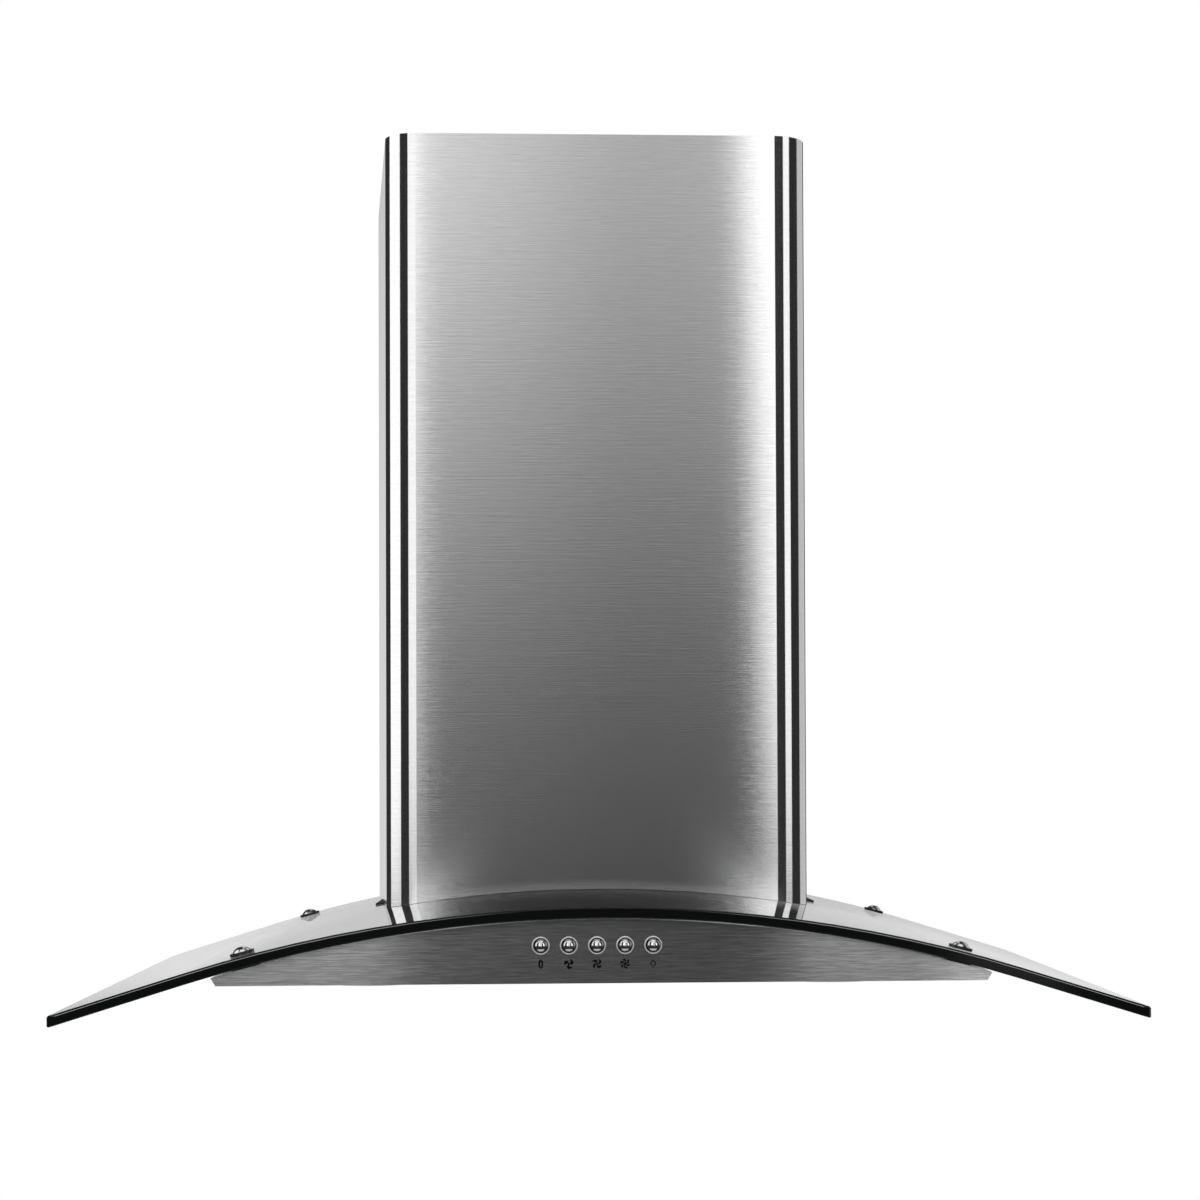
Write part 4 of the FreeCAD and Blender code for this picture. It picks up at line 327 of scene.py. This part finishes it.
def all_materials():
    """One material for each slot of the record."""
    fine = (90.0, 90.0, 1700.0)
    finest = (90.0, 90.0, 2600.0)
    return {
        "tinted_glass": canopy_glass("tinted_glass"),
        "brushed_chimney": brushed_steel("brushed_chimney", 0.76, 0.12, fine, 0.05, 0.00002),
        "brushed_steel": brushed_steel("brushed_steel", 0.70, 0.16, fine, 0.06, 0.00002),
        # Painted shade: the panel's steel gets a darker base colour than the chimney's, standing in
        # for the shade on the panel.
        "brushed_panel": brushed_steel("brushed_panel", 0.46, 0.18, finest, 0.34, 0.000025),
        "polished_steel": polished_metal("polished_steel", 0.66, 0.20),
        "chrome": polished_metal("chrome", 0.86, 0.04),
        "screw_steel": polished_metal("screw_steel", 0.58, 0.30),
        "zinc_steel": zinc_sheet("zinc_steel"),
        "motor_metal": cast_metal("motor_metal"),
        "filter_aluminium": rolled_aluminium("filter_aluminium", 0.74, 0.34),
        "filter_mesh": rolled_aluminium("filter_mesh", 0.66, 0.40),
        "black_plastic": moulded_plastic("black_plastic", grey(0.012), grey(0.022), 0.45),
        "grey_plastic": moulded_plastic("grey_plastic", grey(0.050), grey(0.066), 0.48),
        "white_plastic": moulded_plastic("white_plastic", (0.70, 0.70, 0.67), (0.76, 0.76, 0.73),
                                         0.42),
        "black_rubber": moulded_plastic("black_rubber", grey(0.010), grey(0.020), 0.70, 900.0),
        "black_washer": moulded_plastic("black_washer", grey(0.012), grey(0.024), 0.30),
        "lamp_glass": lamp_glass("lamp_glass"),
    }


def dress_nodes(materials):
    for part in frame["record"]["subparts"]:
        node = frame["nodes"][part["node"]]
        node.data.materials.clear()
        node.data.materials.append(materials[part["material_slot"]])


def ring(points, width):
    """Faces of a closed line of that width, inside the loop of points."""
    outer = [Vector(point) for point in points]
    centre = sum(outer, Vector((0.0, 0.0))) / len(outer)
    inner = [centre + (point - centre) * (1 - width / (point - centre).length) for point in outer]
    return [(outer[k - 1], outer[k], inner[k], inner[k - 1]) for k in range(len(outer))]


def sign_zero():
    loop = []
    for k in range(ZERO_STEPS):
        angle = 2 * math.pi * k / ZERO_STEPS
        loop.append((SIGN_SIZE * ZERO_HALF_WIDTH * math.cos(angle), SIGN_SIZE * math.sin(angle)))
    return ring(loop, SIGN_LINE)


def sign_lamp():
    loop = [(SIGN_SIZE * x, SIGN_SIZE * z) for x, z in LAMP_OUTLINE]
    loop += [(-x, z) for x, z in reversed(loop[1:])]
    return ring(loop, SIGN_LINE * LAMP_LINE_SHARE)


def sign_fan(blades):
    """Curved blades round a hub."""
    faces = []
    hub = []
    for k in range(blades):
        turn = 2 * math.pi * k / blades
        ribs = []
        for step in range(BLADE_STEPS + 1):
            share = step / BLADE_STEPS
            reach = SIGN_SIZE * (FAN_HUB + (FAN_REACH - FAN_HUB) * share)
            bend = turn + BLADE_BEND * share
            half = math.pi / blades * (BLADE_ROOT + BLADE_SWELL * math.sin(math.pi * share))
            ends = (bend - half, bend + half)
            ribs.append([(reach * math.cos(end), reach * math.sin(end)) for end in ends])
        hub += ribs[0]
        for near, far in zip(ribs, ribs[1:]):
            faces.append((near[0], far[0], far[1], near[1]))
    return faces + [hub]


def print_sign(name, x, y, z, faces, material):
    mesh = bpy.data.meshes.new(name)
    build = bmesh.new()
    for face in faces:
        build.faces.new([build.verts.new((x + across, y, z + up)) for across, up in face])
    bmesh.ops.remove_doubles(build, verts=build.verts[:], dist=MERGE_DISTANCE)
    bmesh.ops.triangulate(build, faces=build.faces[:])
    build.to_mesh(mesh)
    build.free()
    piece = add_object(name, mesh)
    mesh.materials.append(material)
    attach(piece, "hood")


def print_signs(material):
    panel_low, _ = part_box("control_panel")
    y = panel_low.y - SIGN_PRINT
    drawings = (sign_zero(), sign_fan(3), sign_fan(4), sign_fan(6), sign_lamp())
    for button, faces in zip(BUTTONS, drawings):
        low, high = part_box(button)
        x = (low.x + high.x) / 2
        z = (low.z + high.z) / 2 - SIGN_DROP
        print_sign(button.replace("button", "sign"), x, y, z, faces, material)


def arris_highlight_paint(name):
    material, tree, shader = new_material(name, Roughness=0.4)
    grain = object_noise(tree, (1200.0, 1200.0, 1200.0))
    # Painted highlight: the grey of the line under the glass's arris.
    tree.links.new(tint(tree, grain, grey(0.22), grey(0.34)), shader.inputs["Base Color"])
    return material


def upper_arris():
    """Edges shared by the glass's front faces and the chamfer above them, with the chamfer's lean.

    Faces of two CAD surfaces share no vertices, so their edges are matched by place."""
    glass = frame["nodes"]["glass_canopy"].data
    front = set()
    chamfer = {}
    for face in glass.polygons:
        places = [glass.vertices[k].co for k in face.vertices]
        corners = [tuple(round(value, 5) for value in place) for place in places]
        for first, second in zip(corners, corners[1:] + corners[:1]):
            side = (first, second) if first < second else (second, first)
            if face.normal.y < -0.9:
                front.add(side)
            elif face.normal.y < -0.5 and face.normal.z > 0.4:
                chamfer[side] = Vector((face.normal.x, 0.0, face.normal.z))
    return {side: chamfer[side] for side in sorted(chamfer) if side in front}


def paint_arris_highlight(material):
    """Fine grey line under the front edge's upper arris, a painted highlight, fading out towards
    the crown.
    """
    shared = upper_arris()
    normals = {}
    for side, lean in shared.items():
        for corner in side:
            normals[corner] = normals.get(corner, Vector((0.0, 0.0, 0.0))) + lean
    mesh = bpy.data.meshes.new("painted_arris_highlight_line")
    build = bmesh.new()
    pairs = {}
    for corner, normal in normals.items():
        down = -normal.normalized()
        share = (abs(corner[0]) - ARRIS_START) / (ARRIS_FULL - ARRIS_START)
        width = ARRIS_WIDTH * min(max(share, 0.0), 1.0)
        place = Vector(corner) + Vector((0.0, -SIGN_PRINT, 0.0))
        upper = build.verts.new(place + down * ARRIS_DEPTH)
        lower = build.verts.new(place + down * (ARRIS_DEPTH + width))
        pairs[corner] = (upper, lower)
    for first, second in shared:
        if abs(first[0]) > ARRIS_START or abs(second[0]) > ARRIS_START:
            (near_top, near_foot), (far_top, far_foot) = pairs[first], pairs[second]
            build.faces.new((near_foot, far_foot, far_top, near_top))
    build.to_mesh(mesh)
    build.free()
    piece = add_object("painted_arris_highlight_line", mesh)
    mesh.materials.append(material)
    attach(piece, "hood")


def make_camera():
    yaw, pitch, roll = CAMERA_YAW, CAMERA_PITCH, CAMERA_ROLL
    forward = Vector((math.sin(yaw) * math.cos(pitch), math.cos(yaw) * math.cos(pitch),
                      math.sin(pitch)))
    level = Vector((math.cos(yaw), -math.sin(yaw), 0.0))
    upright = level.cross(forward)
    right = level * math.cos(roll) - upright * math.sin(roll)
    up = upright * math.cos(roll) + level * math.sin(roll)
    data = bpy.data.cameras.new("camera")
    data.sensor_width = CAMERA_SENSOR
    data.lens = CAMERA_LENS
    data.shift_x, data.shift_y = CAMERA_SHIFT
    camera = add_object("camera", data)
    turn = Matrix((right, up, -forward)).transposed().to_4x4()
    camera.matrix_world = Matrix.Translation(CAMERA_PLACE) @ turn
    bpy.context.scene.camera = camera


def add_lamp(name, width, height, brightness):
    data = bpy.data.lights.new(name, "AREA")
    data.shape = "RECTANGLE"
    data.size = width
    data.size_y = height
    data.energy = brightness * math.pi * width * height
    lamp = add_object(name, data)
    lamp.visible_camera = False
    return lamp


def softbox(name, seen_from, first, last, distance, low, high, brightness, lean):
    """Upright area lamp that fills the azimuths first to last, seen from a place."""
    middle = math.radians((first + last) / 2)
    half = math.radians((last - first) / 2)
    lamp = add_lamp(name, 2 * distance * math.tan(half), high - low, brightness)
    side, front = seen_from
    lamp.location = (side + distance * math.sin(middle), front - distance * math.cos(middle),
                     (low + high) / 2)
    lamp.rotation_euler = (math.pi / 2, lean, middle)


def light_studio():
    for values in SOFTBOXES:
        softbox(*values)
    above = add_lamp("above", *ABOVE_SIZE, ABOVE_BRIGHTNESS)
    above.location = ABOVE_PLACE


def room_level(tree, glossy_depth):
    """How bright the room looks in each direction: a light behind the hood and one in front.

    The front one grows upwards and is left out of a reflection's reflection."""
    place = tree.nodes.new("ShaderNodeTexCoord")
    way = split(tree, place.outputs["Generated"])
    side = calculate(tree, "DIVIDE", way["X"], way["Y"])
    turn = calculate(tree, "ABSOLUTE", side, 0.0)

    rear = calculate(tree, "GREATER_THAN", way["Y"], 0.0)
    rear = calculate(tree, "MULTIPLY", rear, ramp(tree, turn, 1.0, 0.0, *REAR_SPAN))
    rear = calculate(tree, "MULTIPLY", rear, REAR_LEVEL)

    rise = calculate(tree, "POWER", ramp(tree, way["Z"], 0.0, 1.0, *RISE_SPAN), RISE_POWER)
    rise = calculate(tree, "MULTIPLY", rise, FRONT_LEVEL)
    rise = calculate(tree, "MULTIPLY", rise, ramp(tree, way["Z"], 1.0, 0.0, *RISE_END_SPAN))
    front = calculate(tree, "LESS_THAN", way["Y"], 0.0)
    front = calculate(tree, "MULTIPLY", front, ramp(tree, turn, 1.0, 0.0, *FRONT_SPAN))
    front = calculate(tree, "MULTIPLY", front, rise)
    slant = ramp(tree, side, *FRONT_SLANT, *FRONT_SLANT_SPAN)
    front = calculate(tree, "MULTIPLY", front, slant)
    first_sight = calculate(tree, "LESS_THAN", glossy_depth, 1.5)
    front = calculate(tree, "MULTIPLY", front, first_sight)

    return calculate(tree, "ADD", calculate(tree, "MAXIMUM", rear, front), ROOM_LEVEL)


def light_world():
    """White for the camera and through the glass, soft grey for diffuse light, a room for gloss."""
    world = bpy.data.worlds.new("studio")
    bpy.context.scene.world = world
    world.use_nodes = True
    tree = world.node_tree
    backdrop = tree.nodes["Background"]
    set_inputs(backdrop, {"Color": (1.0, 1.0, 1.0, 1.0), "Strength": 1.0})
    soft = tree.nodes.new("ShaderNodeBackground")
    set_inputs(soft, {"Color": (*grey(SOFT_LEVEL), 1.0), "Strength": 1.0})
    room = tree.nodes.new("ShaderNodeBackground")
    ray = tree.nodes.new("ShaderNodeLightPath").outputs
    tree.links.new(room_level(tree, ray["Glossy Depth"]), room.inputs["Strength"])

    unseen = mix_shaders(tree, ray["Is Diffuse Ray"], room.outputs["Background"],
                         soft.outputs["Background"])
    direct = calculate(tree, "LESS_THAN", ray["Glossy Depth"], 0.5)
    through = calculate(tree, "MULTIPLY", ray["Is Transmission Ray"], direct)
    seen = calculate(tree, "MAXIMUM", ray["Is Camera Ray"], through)
    whole = mix_shaders(tree, seen, unseen, backdrop.outputs["Background"])
    tree.links.new(whole, tree.nodes["World Output"].inputs["Surface"])


def lay_floor():
    """Plain pale floor, well under the hood."""
    mesh = bpy.data.meshes.new("floor")
    build = bmesh.new()
    bmesh.ops.create_circle(build, cap_ends=True, radius=FLOOR_RADIUS, segments=FLOOR_SIDES)
    build.to_mesh(mesh)
    build.free()
    floor = add_object("floor", mesh)
    floor.location.z = FLOOR_Z
    material, tree, shader = new_material("floor", Roughness=0.8)
    mottle = object_noise(tree, (3.0, 3.0, 3.0))
    tree.links.new(tint(tree, mottle, grey(0.52), grey(0.56)), shader.inputs["Base Color"])
    pale = tree.nodes.new("ShaderNodeEmission")
    ray = tree.nodes.new("ShaderNodeLightPath")
    share = calculate(tree, "MULTIPLY", ray.outputs["Is Camera Ray"], FLOOR_PALE_SHARE)
    seen = mix_shaders(tree, share, shader.outputs["BSDF"], pale.outputs["Emission"])
    tree.links.new(seen, tree.nodes["Material Output"].inputs["Surface"])
    mesh.materials.append(material)


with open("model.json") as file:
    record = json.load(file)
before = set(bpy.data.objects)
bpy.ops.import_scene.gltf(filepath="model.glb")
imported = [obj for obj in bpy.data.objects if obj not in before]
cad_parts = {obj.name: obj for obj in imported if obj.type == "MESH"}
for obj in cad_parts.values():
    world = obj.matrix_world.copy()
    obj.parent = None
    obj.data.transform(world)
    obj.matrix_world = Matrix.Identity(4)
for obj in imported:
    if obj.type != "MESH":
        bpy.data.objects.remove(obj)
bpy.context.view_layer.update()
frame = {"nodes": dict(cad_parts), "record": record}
materials = all_materials()
dress_nodes(materials)
frame["nodes"]["button_bezels"].data.materials[0] = satin_chrome_painted_shade("satin_chrome_painted_shade")
print_signs(printed_ink("sign_ink"))
paint_arris_highlight(arris_highlight_paint("arris_highlight_paint"))
make_camera()
lay_floor()
light_studio()
light_world()
bpy.context.scene.view_settings.view_transform = "Standard"
